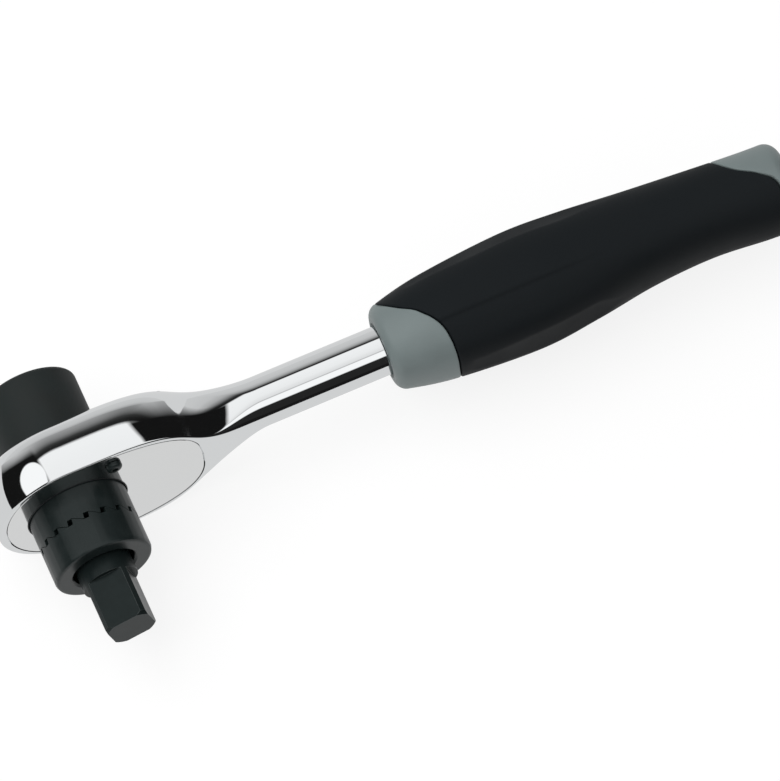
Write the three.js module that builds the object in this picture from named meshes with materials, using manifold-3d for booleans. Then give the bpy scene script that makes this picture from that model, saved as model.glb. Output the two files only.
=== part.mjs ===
// Torque-limiting ratchet with a 3/8 inch drive square, in millimetres.
// +X runs along the handle, -Y is the drive direction and +Z is the flank that lies upwards.
// The origin is the centre of the drive square's end face.
// Inside the head frame, "p" counts from the shank's axis in the drive direction, so y = -p.
import * as THREE from 'three';
import { mergeVertices } from 'three/addons/utils/BufferGeometryUtils.js';
import Module from 'manifold-3d';

const wasm = await Module();
wasm.setup();

// Clearances
const RUN_GAP = 0.15;
const SEAT_GAP = 0.1;
const FACE_GAP = 0.2;
const THREAD_GAP = 0.1;

// Drive square and clutch
const SQUARE_ACROSS_FLATS = 9.53;
const SQUARE_LENGTH = 11.6;
const SQUARE_TIP_BEVEL = 0.35;
const SQUARE_TURN = -12.5;
const NECK_DIAMETER = 12.3;
const NECK_REACH = 3.55;
const CLUTCH_DIAMETER = 22;
const CLUTCH_EDGE = 0.9;
const JAW_REACH = 6.5;
const JAW_WIDTH = 4.1;
const JAW_ROOT_DEPTH = 0.5;
const TOOTH_COUNT = 18;
const TOOTH_HEIGHT = 1.2;
const TOOTH_PHASE = 5.6;
const TOOTH_RAMP = 11.5;
const TOOTH_CREST = 1;
const TOOTH_FLANK = 0.8;
const TOOTH_GAP = 0.12;
const RING_LENGTH = 7.48;
const RING_WEB = 3.2;
const RING_MOUTH_GAP = 0.85;
const RING_MOUTH_BEVEL = 0.5;
const KEY_ACROSS_FLATS = 9.4;
const SPINDLE_DIAMETER = 8;

// Detent in the drive square
const DETENT_BALL_DIAMETER = 3;
const DETENT_PROUD = 0.7;
const DETENT_FROM_TIP = 4.9;
const DETENT_SPRING_DIAMETER = 2.4;
const DETENT_SPRING_LENGTH = 3;
const DETENT_SPRING_WIRE = 0.4;

// Ratchet gear and pawl
const GEAR_TEETH = 72;
const GEAR_TIP_RADIUS = 14;
const GEAR_TOOTH_DEPTH = 0.55;
const GEAR_POCKET_GAP = 0.35;
const HUB_DIAMETER = 17;
const HUB_FLATS = 15;
const HUB_REAR_DIAMETER = 15.8;
const HUB_THREAD_DIAMETER = 15.2;
const PAWL_REACH = 6.5;
const PAWL_ROCK = 5.5;
const PAWL_BOSS_RADIUS = 5.6;
const PAWL_MESH_GAP = 0.12;
const PAWL_RELIEF = 0.9;
const PAWL_ARM_INNER = 4.4;
const PAWL_ARM_OUTER = 8.4;
const PAWL_ARM_SHOULDER = 9;
const PAWL_ARM_LENGTH = 4;

// Reversing lever
const STEM_DIAMETER = 6.4;
const LEVER_THROW = 56;
const LEVER_DISC_RADIUS = 4.8;
const LEVER_DISC_HEIGHT = 1.6;
const LEVER_DISC_EDGE = 0.5;
const LEVER_TAB_REACH = 6.4;
const LEVER_TAB_WIDTH = 4.4;
const LEVER_TAB_HEIGHT = 2.5;
const LEVER_CLIP_WIRE = 0.7;
const LEVER_CLIP_RADIUS = 4.6;
const LEVER_CLIP_GROOVE = 0.6;
const LEVER_CLIP_MOUTH = 2.4;
const LEVER_BALL_DIAMETER = 2.5;
const LEVER_BALL_PROUD = 1;
const LEVER_SPRING_DIAMETER = 1.9;
const LEVER_SPRING_LENGTH = 2.6;
const LEVER_SPRING_WIRE = 0.35;

// Head, cover plate and shank
const HEAD_FRONT = 6.7;
const HEAD_REAR = 7;
const HEAD_WALL = 4.05;
const HEAD_FLOOR = 3.1;
const HEAD_FRONT_ROUND = 0.8;
const HEAD_REAR_ROUND = 5;
const NECK_FROM = 8;
const NECK_SHOULDER = 31;
const NECK_TUCK = 22.5;
const NECK_END = 45;
const NECK_BACK_START = 24;
const SHANK_DIAMETER = 11;
const SHANK_FLAT = 4.9;
const PLATE_THICKNESS = 1.6;
const PLATE_LEDGE = 1.65;
const PLATE_LINE = 0.2;
const PLATE_FULLNESS = 2.5;
const SEAL_WIDTH = 0.8;
const SEAL_PROUD = 0.4;
const PAWL_POCKET_GAP = 0.8;
const PAWL_POCKET_END = 6.8;
const SCREW_ANGLE = 54;
const SCREW_HEAD_DIAMETER = 3.6;
const SCREW_HEAD_HEIGHT = 1.2;
const SCREW_SHANK_DIAMETER = 2;
const SCREW_SHANK_LENGTH = 6;
const SCREW_SOCKET = 1.3;
const SCREW_SOCKET_DEPTH = 0.7;

// Spring pack and rear knob
const KNOB_THREAD_LENGTH = 3.5;
const KNOB_WALL = 2.1;
const KNOB_END_WALL = 1.7;
const KNOB_END_GAP = 0.3;
const KNOB_EDGE = 1.2;
const WASHER_THICKNESS = 1;
const DISC_COUNT = 6;
const DISC_CLEARANCE = 0.4;
const DISC_THICKNESS = 0.65;
const DISC_RISE = 0.3;
const DISC_GAP = 0.05;
const NUT_ACROSS_FLATS = 13;
const NUT_THICKNESS = 2.7;
const SPINDLE_PAST_NUT = 0.25;

// Grip, with each section given as distance from the front, then half sizes at the back of the tool,
// at the drive side and at the flanks
const GRIP_START = 73.2;
const GRIP_SECTIONS = [
  [0, 8.9, 9, 8.8],
  [12, 11.5, 11.3, 11],
  [32, 13.2, 12.5, 12.4],
  [46, 12.8, 11.2, 11.6],
  [60, 11.6, 9.2, 10.4],
  [74, 10.5, 8.6, 9.7],
  [87, 9.4, 9.8, 9.8],
  [95, 9.1, 10, 9.8],
];
const GRIP_SQUARENESS = 2.3;
const GRIP_FRONT_ROUND = 2;
const GRIP_REAR_ROUND = 3.2;
const SLEEVE_THICKNESS = 2.2;
const SLEEVE_SEAM = 0.25;
const SLEEVE_FRONT_BACK = 2.8;
const SLEEVE_FRONT_DRIVE = 13.1;
const SLEEVE_REAR_BACK = 81.8;
const SLEEVE_REAR_DRIVE = 91.3;
const SLEEVE_STEP_CENTRE = -1.5;
const SLEEVE_STEP_WIDTH = 11;
const SHANK_IN_GRIP = 6;
const TANG_LENGTH = 72;
const TANG_DIAMETER = 8.4;
const TANG_FLATS = 7;

// Facets of round faces
const FINE = 44;
const MEDIUM = 24;
const COARSE = 12;

// Sizes that follow from the ones above
const clutchRadius = CLUTCH_DIAMETER / 2;
const neckRadius = NECK_DIAMETER / 2;
const spindleRadius = SPINDLE_DIAMETER / 2;
const shankRadius = SHANK_DIAMETER / 2;
const stemRadius = STEM_DIAMETER / 2;
const toothRoot = HEAD_FRONT + JAW_REACH;
const toothPitch = 360 / TOOTH_COUNT;
const ringRoot = toothRoot + TOOTH_HEIGHT + TOOTH_GAP;
const ringEnd = ringRoot + RING_LENGTH;
const webFront = ringRoot + RING_WEB;
const flatsStart = ringEnd + NECK_REACH;
const driveReach = flatsStart + SQUARE_LENGTH;
const pocketRadius = GEAR_TIP_RADIUS + GEAR_POCKET_GAP;
const headRadius = pocketRadius + HEAD_WALL;
const plateBack = HEAD_FRONT - PLATE_THICKNESS;
const plateRadius = pocketRadius + PLATE_LEDGE;
const pocketFloor = HEAD_FLOOR - HEAD_REAR;
const leverX = GEAR_TIP_RADIUS + PAWL_REACH;
const pocketEnd = leverX + PAWL_POCKET_END;
const pocketHalf = PAWL_ARM_SHOULDER + PAWL_POCKET_GAP;
const plateTip = pocketEnd + PLATE_LEDGE;
const knobStart = HEAD_REAR + FACE_GAP;
const hubEnd = knobStart + KNOB_THREAD_LENGTH;
const discRadius = clutchRadius - KNOB_WALL - DISC_CLEARANCE;
const discPitch = DISC_THICKNESS + DISC_RISE + DISC_GAP;
const washerStart = hubEnd + DISC_GAP;
const stackStart = washerStart + WASHER_THICKNESS + DISC_GAP;
const nutStart = stackStart + DISC_COUNT * discPitch;
const spindleEnd = nutStart + NUT_THICKNESS + SPINDLE_PAST_NUT;
const knobEnd = spindleEnd + KNOB_END_GAP + KNOB_END_WALL;
const sealBore = clutchRadius + RUN_GAP;
const sealRadius = sealBore + SEAL_WIDTH;
const gripLength = GRIP_SECTIONS.at(-1)[0];

const FINISHES = {
  chrome: { color: 0xd2d4d6, roughness: 0.06, metalness: 1 },
  satin: { color: 0xcccdcd, roughness: 0.22, metalness: 1 },
  black_oxide: { color: 0x2b3030, roughness: 0.42, metalness: 0.7 },
  knob_black: { color: 0x2d302f, roughness: 0.6, metalness: 0.4 },
  steel: { color: 0x9a9c9e, roughness: 0.3, metalness: 1 },
  spring_steel: { color: 0x4d5054, roughness: 0.35, metalness: 1 },
  rubber: { color: 0x141616, roughness: 0.7, metalness: 0 },
  grip_grey: { color: 0x717b7a, roughness: 0.5, metalness: 0 },
  grip_black: { color: 0x1f2527, roughness: 0.65, metalness: 0 },
};

// Closed solids
const WELD_DISTANCE = 1e-4;

function enclosedVolume(points, corners) {
  const [a, b, c] = [new THREE.Vector3(), new THREE.Vector3(), new THREE.Vector3()];
  let sum = 0;
  for (let i = 0; i < corners.length; i += 3) {
    a.fromArray(points, corners[i] * 3);
    b.fromArray(points, corners[i + 1] * 3);
    c.fromArray(points, corners[i + 2] * 3);
    sum += a.dot(b.cross(c)) / 6;
  }
  return sum;
}

function solidFrom(geometry) {
  const bare = new THREE.BufferGeometry();
  bare.setAttribute('position', geometry.getAttribute('position'));
  bare.setIndex(geometry.index);
  const welded = mergeVertices(bare, WELD_DISTANCE);
  const points = Float32Array.from(welded.getAttribute('position').array);
  const corners = [];
  for (let i = 0; i < welded.index.count; i += 3) {
    const [a, b, c] = [0, 1, 2].map((k) => welded.index.getX(i + k));
    if (a !== b && b !== c && c !== a) corners.push(a, b, c);
  }
  if (enclosedVolume(points, corners) < 0) corners.reverse();
  const triVerts = Uint32Array.from(corners);
  return new wasm.Manifold(new wasm.Mesh({ numProp: 3, vertProperties: points, triVerts }));
}

function geometryOf(solid) {
  const { vertProperties, triVerts } = solid.getMesh();
  const geometry = new THREE.BufferGeometry();
  geometry.setAttribute('position', new THREE.BufferAttribute(vertProperties, 3));
  geometry.setIndex(new THREE.BufferAttribute(triVerts, 1));
  return geometry;
}

// A solid turned about a line that is parallel to the drive axis and crosses the handle at x
function turned(solid, degrees, x = 0) {
  const geometry = geometryOf(solid);
  geometry.translate(-x, 0, 0);
  geometry.rotateY(THREE.MathUtils.degToRad(degrees));
  geometry.translate(x, 0, 0);
  return solidFrom(geometry);
}

function mirroredFlank(solid) {
  return solidFrom(geometryOf(solid).scale(1, 1, -1));
}

// A solid of revolution about a line parallel to the drive axis, from [radius, p] points
function revolve(profile, facets, x = 0, z = 0) {
  const outline = profile.map(([r, p]) => new THREE.Vector2(r, -p));
  if (outline[0].x > 0) outline.push(outline[0].clone());
  return solidFrom(new THREE.LatheGeometry(outline, facets).translate(x, 0, z));
}

function rod(radius, low, high, facets, x = 0, z = 0) {
  return revolve([[0, low], [radius, low], [radius, high], [0, high]], facets, x, z);
}

function ring(inner, outer, low, high, facets) {
  return revolve([[inner, low], [outer, low], [outer, high], [inner, high]], facets);
}

// A plan outline in x and z, carried along the drive axis from p = low to p = high
function prism(shape, low, high, arcSteps = 12) {
  const geometry = new THREE.ExtrudeGeometry(shape, {
    depth: high - low,
    bevelEnabled: false,
    curveSegments: arcSteps,
  });
  return solidFrom(geometry.translate(0, 0, low).rotateX(Math.PI / 2));
}

// A side outline in x and p, carried across the tool from flank to flank
function crossPrism(shape, half) {
  const geometry = new THREE.ExtrudeGeometry(shape, { depth: 2 * half, bevelEnabled: false });
  return solidFrom(geometry.translate(0, 0, -half).scale(1, -1, 1));
}

// A section in z and p, carried along the handle
function rail(shape, start, end) {
  const geometry = new THREE.ExtrudeGeometry(shape, { depth: end - start, bevelEnabled: false });
  return solidFrom(geometry.rotateY(Math.PI / 2).translate(start, 0, 0));
}

function polygon(points) {
  return new THREE.Shape(points.map(([a, b]) => new THREE.Vector2(a, b)));
}

function regularPolygon(sides, acrossFlats) {
  const radius = acrossFlats / 2 / Math.cos(Math.PI / sides);
  const corners = Array.from({ length: sides }, (_, i) => {
    const angle = ((i + 0.5) / sides) * 2 * Math.PI;
    return [radius * Math.cos(angle), radius * Math.sin(angle)];
  });
  return polygon(corners);
}

function flattedCircle(radius, flats) {
  const edge = Math.acos(flats / 2 / radius);
  const shape = new THREE.Shape();
  shape.absarc(0, 0, radius, edge, Math.PI - edge);
  shape.absarc(0, 0, radius, Math.PI + edge, 2 * Math.PI - edge);
  return shape;
}

function box(low, high) {
  const size = high.map((value, i) => value - low[i]);
  const geometry = new THREE.BoxGeometry(...size);
  return solidFrom(geometry.translate(...low.map((value, i) => value + size[i] / 2)));
}

// Skin through rings of equally many points, closed by a fan at each end
function loft(rings) {
  const count = rings[0].length;
  const points = rings.flat();
  const corners = [];
  for (let r = 0; r + 1 < rings.length; r += 1) {
    for (let i = 0; i < count; i += 1) {
      const a = r * count + i;
      const b = r * count + ((i + 1) % count);
      corners.push(a, b, a + count, b, b + count, a + count);
    }
  }
  for (const [r, turn] of [[0, 1], [rings.length - 1, -1]]) {
    const centre = rings[r].reduce((sum, point) => sum.add(point), new THREE.Vector3());
    points.push(centre.divideScalar(count));
    for (let i = 0; i < count; i += 1) {
      const edge = [r * count + i, r * count + ((i + 1) % count)];
      if (turn > 0) edge.reverse();
      corners.push(...edge, points.length - 1);
    }
  }
  const geometry = new THREE.BufferGeometry().setFromPoints(points);
  geometry.setIndex(corners);
  return solidFrom(geometry);
}

// A coil spring of round wire along +X, from its first end
class Helix extends THREE.Curve {
  constructor(radius, length, turns) {
    super();
    Object.assign(this, { radius, length, turns });
  }

  getPoint(t, target = new THREE.Vector3()) {
    const angle = t * this.turns * 2 * Math.PI;
    return target.set(t * this.length, this.radius * Math.cos(angle), this.radius * Math.sin(angle));
  }
}

function coil(diameter, wire, length, turns) {
  const path = new Helix((diameter - wire) / 2, length - wire, turns);
  const section = new THREE.Shape().absarc(0, 0, wire / 2, 0, 2 * Math.PI);
  const geometry = new THREE.ExtrudeGeometry(section, {
    steps: turns * 7,
    extrudePath: path,
    curveSegments: 3,
  });
  return solidFrom(geometry.translate(wire / 2, 0, 0));
}

function easeBetween(x, from, to, start, end) {
  return THREE.MathUtils.lerp(start, end, THREE.MathUtils.smoothstep(x, from, to));
}

// Named pieces
const part = new THREE.Group();
const tool = new THREE.Group();
tool.position.y = driveReach;
part.add(tool);

function piece(name, solid, finish, parent = tool) {
  const geometry = geometryOf(solid);
  geometry.computeVertexNormals();
  const mesh = new THREE.Mesh(geometry, new THREE.MeshStandardMaterial(FINISHES[finish]));
  mesh.name = name;
  parent.add(mesh);
  return mesh;
}

// Forged head, neck and shank: one skin of rounded sections along the handle
const CORNER_STEPS = 6;

function roundedSection(x, half, front, back, frontRound, backRound, flat) {
  const corners = [
    [1, 1, frontRound, 0],
    [-1, 1, frontRound, 90],
    [-1, -1, backRound, 180],
    [1, -1, backRound, 270],
  ];
  return corners.flatMap(([side, end, wanted, start]) => {
    const radius = Math.min(wanted, half, (front + back) / 2);
    const centreZ = side * (half - radius);
    const centreP = end > 0 ? front - radius : radius - back;
    return Array.from({ length: CORNER_STEPS + 1 }, (_, i) => {
      const angle = THREE.MathUtils.degToRad(start + (i * 90) / CORNER_STEPS);
      const p = Math.min(centreP + radius * Math.sin(angle), flat);
      return new THREE.Vector3(x, -p, centreZ + radius * Math.cos(angle));
    });
  });
}

// How far a rounded end has drawn in at a given distance from its tip
function endDraw(radius, fromTip) {
  if (fromTip >= radius) return 0;
  return radius - Math.sqrt(radius * radius - (radius - fromTip) ** 2);
}

function forgingSection(x, half) {
  const fromTip = x + headRadius;
  const neck = (start, end) => easeBetween(x, plateTip, NECK_END, start, end);
  const front = neck(HEAD_FRONT, shankRadius) - endDraw(HEAD_FRONT_ROUND, fromTip);
  const taperedBack = easeBetween(x, NECK_BACK_START, NECK_END, HEAD_REAR, shankRadius);
  const back = taperedBack - endDraw(HEAD_REAR_ROUND, fromTip);
  const frontRound = neck(HEAD_FRONT_ROUND, shankRadius);
  const backRound = neck(HEAD_REAR_ROUND, shankRadius);
  return roundedSection(x, half, front, back, frontRound, backRound, neck(HEAD_FRONT, SHANK_FLAT));
}

function forging() {
  const sections = [];
  for (const angle of [2, 8, 17, 28, 40, 54, 70, 90]) {
    const turn = THREE.MathUtils.degToRad(angle);
    sections.push(forgingSection(-headRadius * Math.cos(turn), headRadius * Math.sin(turn)));
  }
  const plan = new THREE.CubicBezierCurve(
    new THREE.Vector2(NECK_FROM, headRadius),
    new THREE.Vector2(NECK_SHOULDER, headRadius),
    new THREE.Vector2(NECK_TUCK, shankRadius),
    new THREE.Vector2(NECK_END, shankRadius),
  );
  for (const point of plan.getPoints(14)) sections.push(forgingSection(point.x, point.y));
  sections.push(forgingSection(GRIP_START + SHANK_IN_GRIP, shankRadius));
  return loft(sections);
}

const tangStart = GRIP_START + SHANK_IN_GRIP;

function tang(growth) {
  const section = flattedCircle(TANG_DIAMETER / 2 + growth, TANG_FLATS + 2 * growth);
  return rail(section, tangStart - 1, tangStart + TANG_LENGTH + growth);
}

// Oval cover plate outline, drawn in or out by an offset
function plateOutline(offset) {
  const radius = plateRadius + offset;
  const reach = plateTip + offset;
  const shape = new THREE.Shape();
  shape.absarc(0, 0, radius, Math.PI / 2, (3 * Math.PI) / 2);
  const steps = 14;
  for (let i = 1; i < 2 * steps; i += 1) {
    const angle = ((i / steps) * Math.PI) / 2 - Math.PI / 2;
    const along = Math.abs(Math.cos(angle)) ** (2 / PLATE_FULLNESS);
    const across = Math.abs(Math.sin(angle)) ** (2 / PLATE_FULLNESS);
    shape.lineTo(reach * along, radius * across * Math.sign(angle));
  }
  return shape;
}

function pawlPocketOutline() {
  const shape = new THREE.Shape();
  const corner = pocketHalf / 2;
  shape.moveTo(0, -pocketHalf);
  shape.lineTo(leverX, -pocketHalf);
  shape.quadraticCurveTo(pocketEnd, -pocketHalf, pocketEnd, -corner / 2);
  shape.lineTo(pocketEnd, corner / 2);
  shape.quadraticCurveTo(pocketEnd, pocketHalf, leverX, pocketHalf);
  shape.lineTo(0, pocketHalf);
  return shape;
}

const screwCircle = pocketRadius + HEAD_WALL / 2;
const screwPlaces = [1, -1].map((flank) => {
  const angle = THREE.MathUtils.degToRad(SCREW_ANGLE);
  return [screwCircle * Math.cos(angle), flank * screwCircle * Math.sin(angle)];
});

function screwHole(x, z) {
  const depth = SCREW_SHANK_LENGTH + SEAT_GAP;
  const radius = SCREW_SHANK_DIAMETER / 2 + SEAT_GAP;
  return rod(radius, HEAD_FRONT - depth, HEAD_FRONT + 1, COARSE, x, z);
}

function ratchetBody() {
  const mouth = HEAD_FRONT + 1;
  const back = -HEAD_REAR - 1;
  let body = forging().add(tang(0));
  body = body.subtract(prism(plateOutline(PLATE_LINE), plateBack, mouth));
  body = body.subtract(rod(pocketRadius, pocketFloor, mouth, FINE));
  body = body.subtract(prism(pawlPocketOutline(), pocketFloor, mouth));
  body = body.subtract(rod(HUB_REAR_DIAMETER / 2 + RUN_GAP, back, mouth, FINE));
  body = body.subtract(rod(stemRadius + RUN_GAP, back, mouth, MEDIUM, leverX));
  for (const [x, z] of screwPlaces) body = body.subtract(screwHole(x, z));
  return body;
}

function coverPlate() {
  let plate = prism(plateOutline(0), plateBack + SEAT_GAP, HEAD_FRONT);
  plate = plate.subtract(rod(sealRadius + SEAT_GAP, 0, HEAD_FRONT + 1, FINE));
  for (const [x, z] of screwPlaces) plate = plate.subtract(screwHole(x, z));
  return plate;
}

function coverScrew(x, z) {
  const headRadiusOfScrew = SCREW_HEAD_DIAMETER / 2;
  const seat = HEAD_FRONT + DISC_GAP;
  const top = seat + SCREW_HEAD_HEIGHT;
  const shank = SCREW_SHANK_DIAMETER / 2;
  const dome = [30, 60].map((angle) => {
    const turn = THREE.MathUtils.degToRad(angle);
    const radius = SCREW_SOCKET + (headRadiusOfScrew - SCREW_SOCKET) * Math.cos(turn);
    return [radius, seat + SCREW_HEAD_HEIGHT * (0.4 + 0.6 * Math.sin(turn))];
  });
  const body = revolve([
    [0, HEAD_FRONT - SCREW_SHANK_LENGTH],
    [shank, HEAD_FRONT - SCREW_SHANK_LENGTH],
    [shank, seat],
    [headRadiusOfScrew, seat],
    [headRadiusOfScrew, seat + SCREW_HEAD_HEIGHT * 0.4],
    ...dome,
    [SCREW_SOCKET, top],
    [0, top],
  ], COARSE);
  const socket = prism(regularPolygon(6, SCREW_SOCKET), top - SCREW_SOCKET_DEPTH, top + 1);
  return solidFrom(geometryOf(body.subtract(socket)).translate(x, 0, z));
}

piece('ratchet_body', ratchetBody(), 'chrome');
piece('cover_plate', coverPlate(), 'satin');
piece('hub_seal', ring(sealBore, sealRadius, plateBack + SEAT_GAP, HEAD_FRONT + SEAL_PROUD, FINE), 'rubber');
screwPlaces.forEach(([x, z], i) => piece(`cover_screw_${i + 1}`, coverScrew(x, z), 'black_oxide'));

// A body round the drive axis through loops of [radius, p], where a loop without p follows the sawteeth
function toothedBody(loops, toothLevels) {
  const levels = Array.from({ length: TOOTH_COUNT }, (_, tooth) =>
    toothLevels.map(([angle, p]) => [angle + tooth * toothPitch + TOOTH_PHASE, p])).flat();
  const points = loops.flatMap(([radius, flatP]) => levels.map(([angle, toothP]) => {
    const turn = THREE.MathUtils.degToRad(angle);
    return new THREE.Vector3(radius * Math.sin(turn), -(flatP ?? toothP), radius * Math.cos(turn));
  }));
  const count = levels.length;
  const corners = [];
  for (let loop = 0; loop < loops.length; loop += 1) {
    const next = ((loop + 1) % loops.length) * count;
    for (let i = 0; i < count; i += 1) {
      const a = loop * count + i;
      const b = loop * count + ((i + 1) % count);
      const c = next + i;
      const d = next + ((i + 1) % count);
      corners.push(a, b, c, b, d, c);
    }
  }
  const geometry = new THREE.BufferGeometry().setFromPoints(points);
  geometry.setIndex(corners);
  return solidFrom(geometry);
}

const jawInner = clutchRadius - JAW_WIDTH;
const jawCore = jawInner + JAW_ROOT_DEPTH;
const rampSteps = [0, 0.5, 1];

function upperLevels() {
  const ramp = rampSteps.map((share) => [share * TOOTH_RAMP, toothRoot + share * TOOTH_HEIGHT]);
  const crestEnd = TOOTH_RAMP + TOOTH_CREST;
  return [...ramp, [crestEnd, toothRoot + TOOTH_HEIGHT], [crestEnd + TOOTH_FLANK, toothRoot]];
}

function lowerLevels() {
  const tip = toothRoot + TOOTH_GAP;
  const ramp = rampSteps.map((share) => [share * TOOTH_RAMP, tip + share * TOOTH_HEIGHT]);
  const tipStart = toothPitch - TOOTH_CREST;
  return [...ramp, [tipStart - TOOTH_FLANK, ringRoot], [tipStart, tip]];
}

// Clutch hub: upper jaw outside the head, keyed journal in the gear, thread for the knob behind
function clutchHub() {
  const journal = HUB_DIAMETER / 2;
  const rear = HUB_REAR_DIAMETER / 2;
  const thread = HUB_THREAD_DIAMETER / 2;
  const bore = spindleRadius + RUN_GAP;
  const barrelTop = toothRoot - JAW_ROOT_DEPTH;
  const body = revolve([
    [bore, -hubEnd],
    [thread, -hubEnd],
    [thread, -HEAD_REAR],
    [rear, -HEAD_REAR],
    [rear, pocketFloor],
    [journal, pocketFloor],
    [journal, plateBack],
    [jawCore, plateBack],
    [jawCore, barrelTop],
    [bore, barrelTop],
  ], FINE);
  const half = HUB_FLATS / 2;
  const reach = journal + 1;
  const flats = [1, -1].map((side) => {
    const faces = side > 0 ? [half, reach] : [-reach, -half];
    return box([faces[0], -plateBack, -reach], [faces[1], -pocketFloor, reach]);
  });
  const loops = [[jawInner], [clutchRadius], [clutchRadius, plateBack], [jawInner, plateBack]];
  const barrel = toothedBody(loops, upperLevels());
  return flats.reduce((hub, flat) => hub.subtract(flat), body).add(barrel);
}

function gearOutline(growth) {
  const points = Array.from({ length: GEAR_TEETH * 2 }, (_, i) => {
    const angle = (i / GEAR_TEETH) * Math.PI;
    const radius = GEAR_TIP_RADIUS + growth - (i % 2) * GEAR_TOOTH_DEPTH;
    return [radius * Math.cos(angle), radius * Math.sin(angle)];
  });
  return polygon(points);
}

const gearBack = pocketFloor + FACE_GAP;
const gearFront = plateBack - SEAT_GAP;

function ratchetGear() {
  const bore = flattedCircle(HUB_DIAMETER / 2 + SEAT_GAP, HUB_FLATS + 2 * SEAT_GAP);
  const gear = prism(gearOutline(0), gearBack, gearFront);
  return gear.subtract(prism(bore, gearBack - 1, gearFront + 1));
}

function rearKnob() {
  const inner = clutchRadius - KNOB_WALL;
  const thread = HUB_THREAD_DIAMETER / 2 + THREAD_GAP;
  const chamber = hubEnd - SEAT_GAP;
  const edge = [0, 30, 60, 90].map((angle) => {
    const turn = THREE.MathUtils.degToRad(angle);
    const radius = clutchRadius - KNOB_EDGE * (1 - Math.cos(turn));
    return [radius, -knobEnd + KNOB_EDGE * (1 - Math.sin(turn))];
  });
  return revolve([
    [thread, -knobStart],
    [clutchRadius, -knobStart],
    ...edge,
    [0, -knobEnd],
    [0, KNOB_END_WALL - knobEnd],
    [inner, KNOB_END_WALL - knobEnd],
    [inner, -chamber],
    [thread, -chamber],
    [thread, -knobStart],
  ], FINE);
}

piece('clutch_hub', clutchHub(), 'black_oxide');
piece('ratchet_gear', ratchetGear(), 'steel');
piece('rear_knob', rearKnob(), 'knob_black');

// Spring pack: thrust washer, disc springs in series and the set nut
const packBore = spindleRadius + RUN_GAP;

function thrustWasher() {
  return ring(packBore, discRadius, -washerStart - WASHER_THICKNESS, -washerStart, MEDIUM);
}

function discSpring(index) {
  const front = -(stackStart + index * discPitch);
  const innerDrop = index % 2 ? 0 : DISC_RISE;
  const outerDrop = DISC_RISE - innerDrop;
  const outer = discRadius;
  return revolve([
    [packBore, front - innerDrop],
    [outer, front - outerDrop],
    [outer, front - outerDrop - DISC_THICKNESS],
    [packBore, front - innerDrop - DISC_THICKNESS],
  ], MEDIUM);
}

function setNut() {
  const nut = prism(regularPolygon(6, NUT_ACROSS_FLATS), -nutStart - NUT_THICKNESS, -nutStart);
  return nut.subtract(rod(spindleRadius + THREAD_GAP, -spindleEnd - 1, 0, MEDIUM));
}

piece('thrust_washer', thrustWasher(), 'steel');
for (let i = 0; i < DISC_COUNT; i += 1) piece(`disc_spring_${i + 1}`, discSpring(i), 'spring_steel');
piece('set_nut', setNut(), 'steel');

// Drive spindle and clutch ring share the turned group of the drive square
const drive = new THREE.Group();
drive.rotation.y = THREE.MathUtils.degToRad(SQUARE_TURN);
tool.add(drive);

const detentP = driveReach - DETENT_FROM_TIP;
const detentBore = DETENT_BALL_DIAMETER / 2 + RUN_GAP;
const flatFace = SQUARE_ACROSS_FLATS / 2;
const ballCentre = flatFace + DETENT_PROUD - DETENT_BALL_DIAMETER / 2;
const detentSpringStart = ballCentre - DETENT_BALL_DIAMETER / 2 - SEAT_GAP;
const detentFloor = detentSpringStart - DETENT_SPRING_LENGTH - SEAT_GAP;

// The detent's axis leaves the square through the flank that faces away, along -Z of its group
function detentWell() {
  const well = new THREE.CylinderGeometry(detentBore, detentBore, flatFace + 1 - detentFloor, COARSE);
  well.rotateX(Math.PI / 2).translate(0, -detentP, -(flatFace + 1 + detentFloor) / 2);
  return solidFrom(well);
}

function driveSpindle() {
  const webGap = webFront + SEAT_GAP;
  const tip = driveReach;
  let spindle = revolve([
    [0, -spindleEnd],
    [spindleRadius, -spindleEnd],
    [spindleRadius, webFront],
    [neckRadius, webGap],
    [neckRadius, tip - 2 * SQUARE_TIP_BEVEL],
    [neckRadius - 2 * SQUARE_TIP_BEVEL, tip],
    [0, tip],
  ], FINE);
  spindle = spindle.add(prism(regularPolygon(6, KEY_ACROSS_FLATS), ringRoot + SEAT_GAP, webGap + 0.5));
  const reach = neckRadius + 1;
  const blank = box([-reach, -tip - 1, -reach], [reach, -flatsStart, reach]);
  const square = regularPolygon(4, SQUARE_ACROSS_FLATS);
  const waste = blank.subtract(prism(square, flatsStart - 1, tip + 2));
  return spindle.subtract(waste).subtract(detentWell());
}

function clutchRing() {
  const mouth = neckRadius + RING_MOUTH_GAP;
  const webBack = ringRoot + JAW_ROOT_DEPTH;
  const halfEdge = CLUTCH_EDGE * (1 - Math.SQRT1_2);
  const ringBody = toothedBody([
    [jawInner],
    [clutchRadius],
    [clutchRadius, ringEnd - CLUTCH_EDGE],
    [clutchRadius - halfEdge, ringEnd - halfEdge],
    [clutchRadius - CLUTCH_EDGE, ringEnd],
    [mouth + RING_MOUTH_BEVEL, ringEnd],
    [mouth, ringEnd - RING_MOUTH_BEVEL],
    [mouth, webFront],
  ], lowerLevels());
  const key = regularPolygon(6, KEY_ACROSS_FLATS + 2 * SEAT_GAP);
  const web = rod(jawCore, webBack, webFront, MEDIUM).subtract(prism(key, ringRoot - 1, webFront + 1));
  return turned(ringBody, -SQUARE_TURN).add(web);
}

piece('drive_spindle', driveSpindle(), 'black_oxide', drive);
piece('clutch_ring', clutchRing(), 'black_oxide', drive);

const detentBall = piece(
  'detent_ball',
  solidFrom(new THREE.SphereGeometry(DETENT_BALL_DIAMETER / 2, 16, 10)),
  'steel',
  drive,
);
detentBall.position.set(0, -detentP, -ballCentre);

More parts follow.
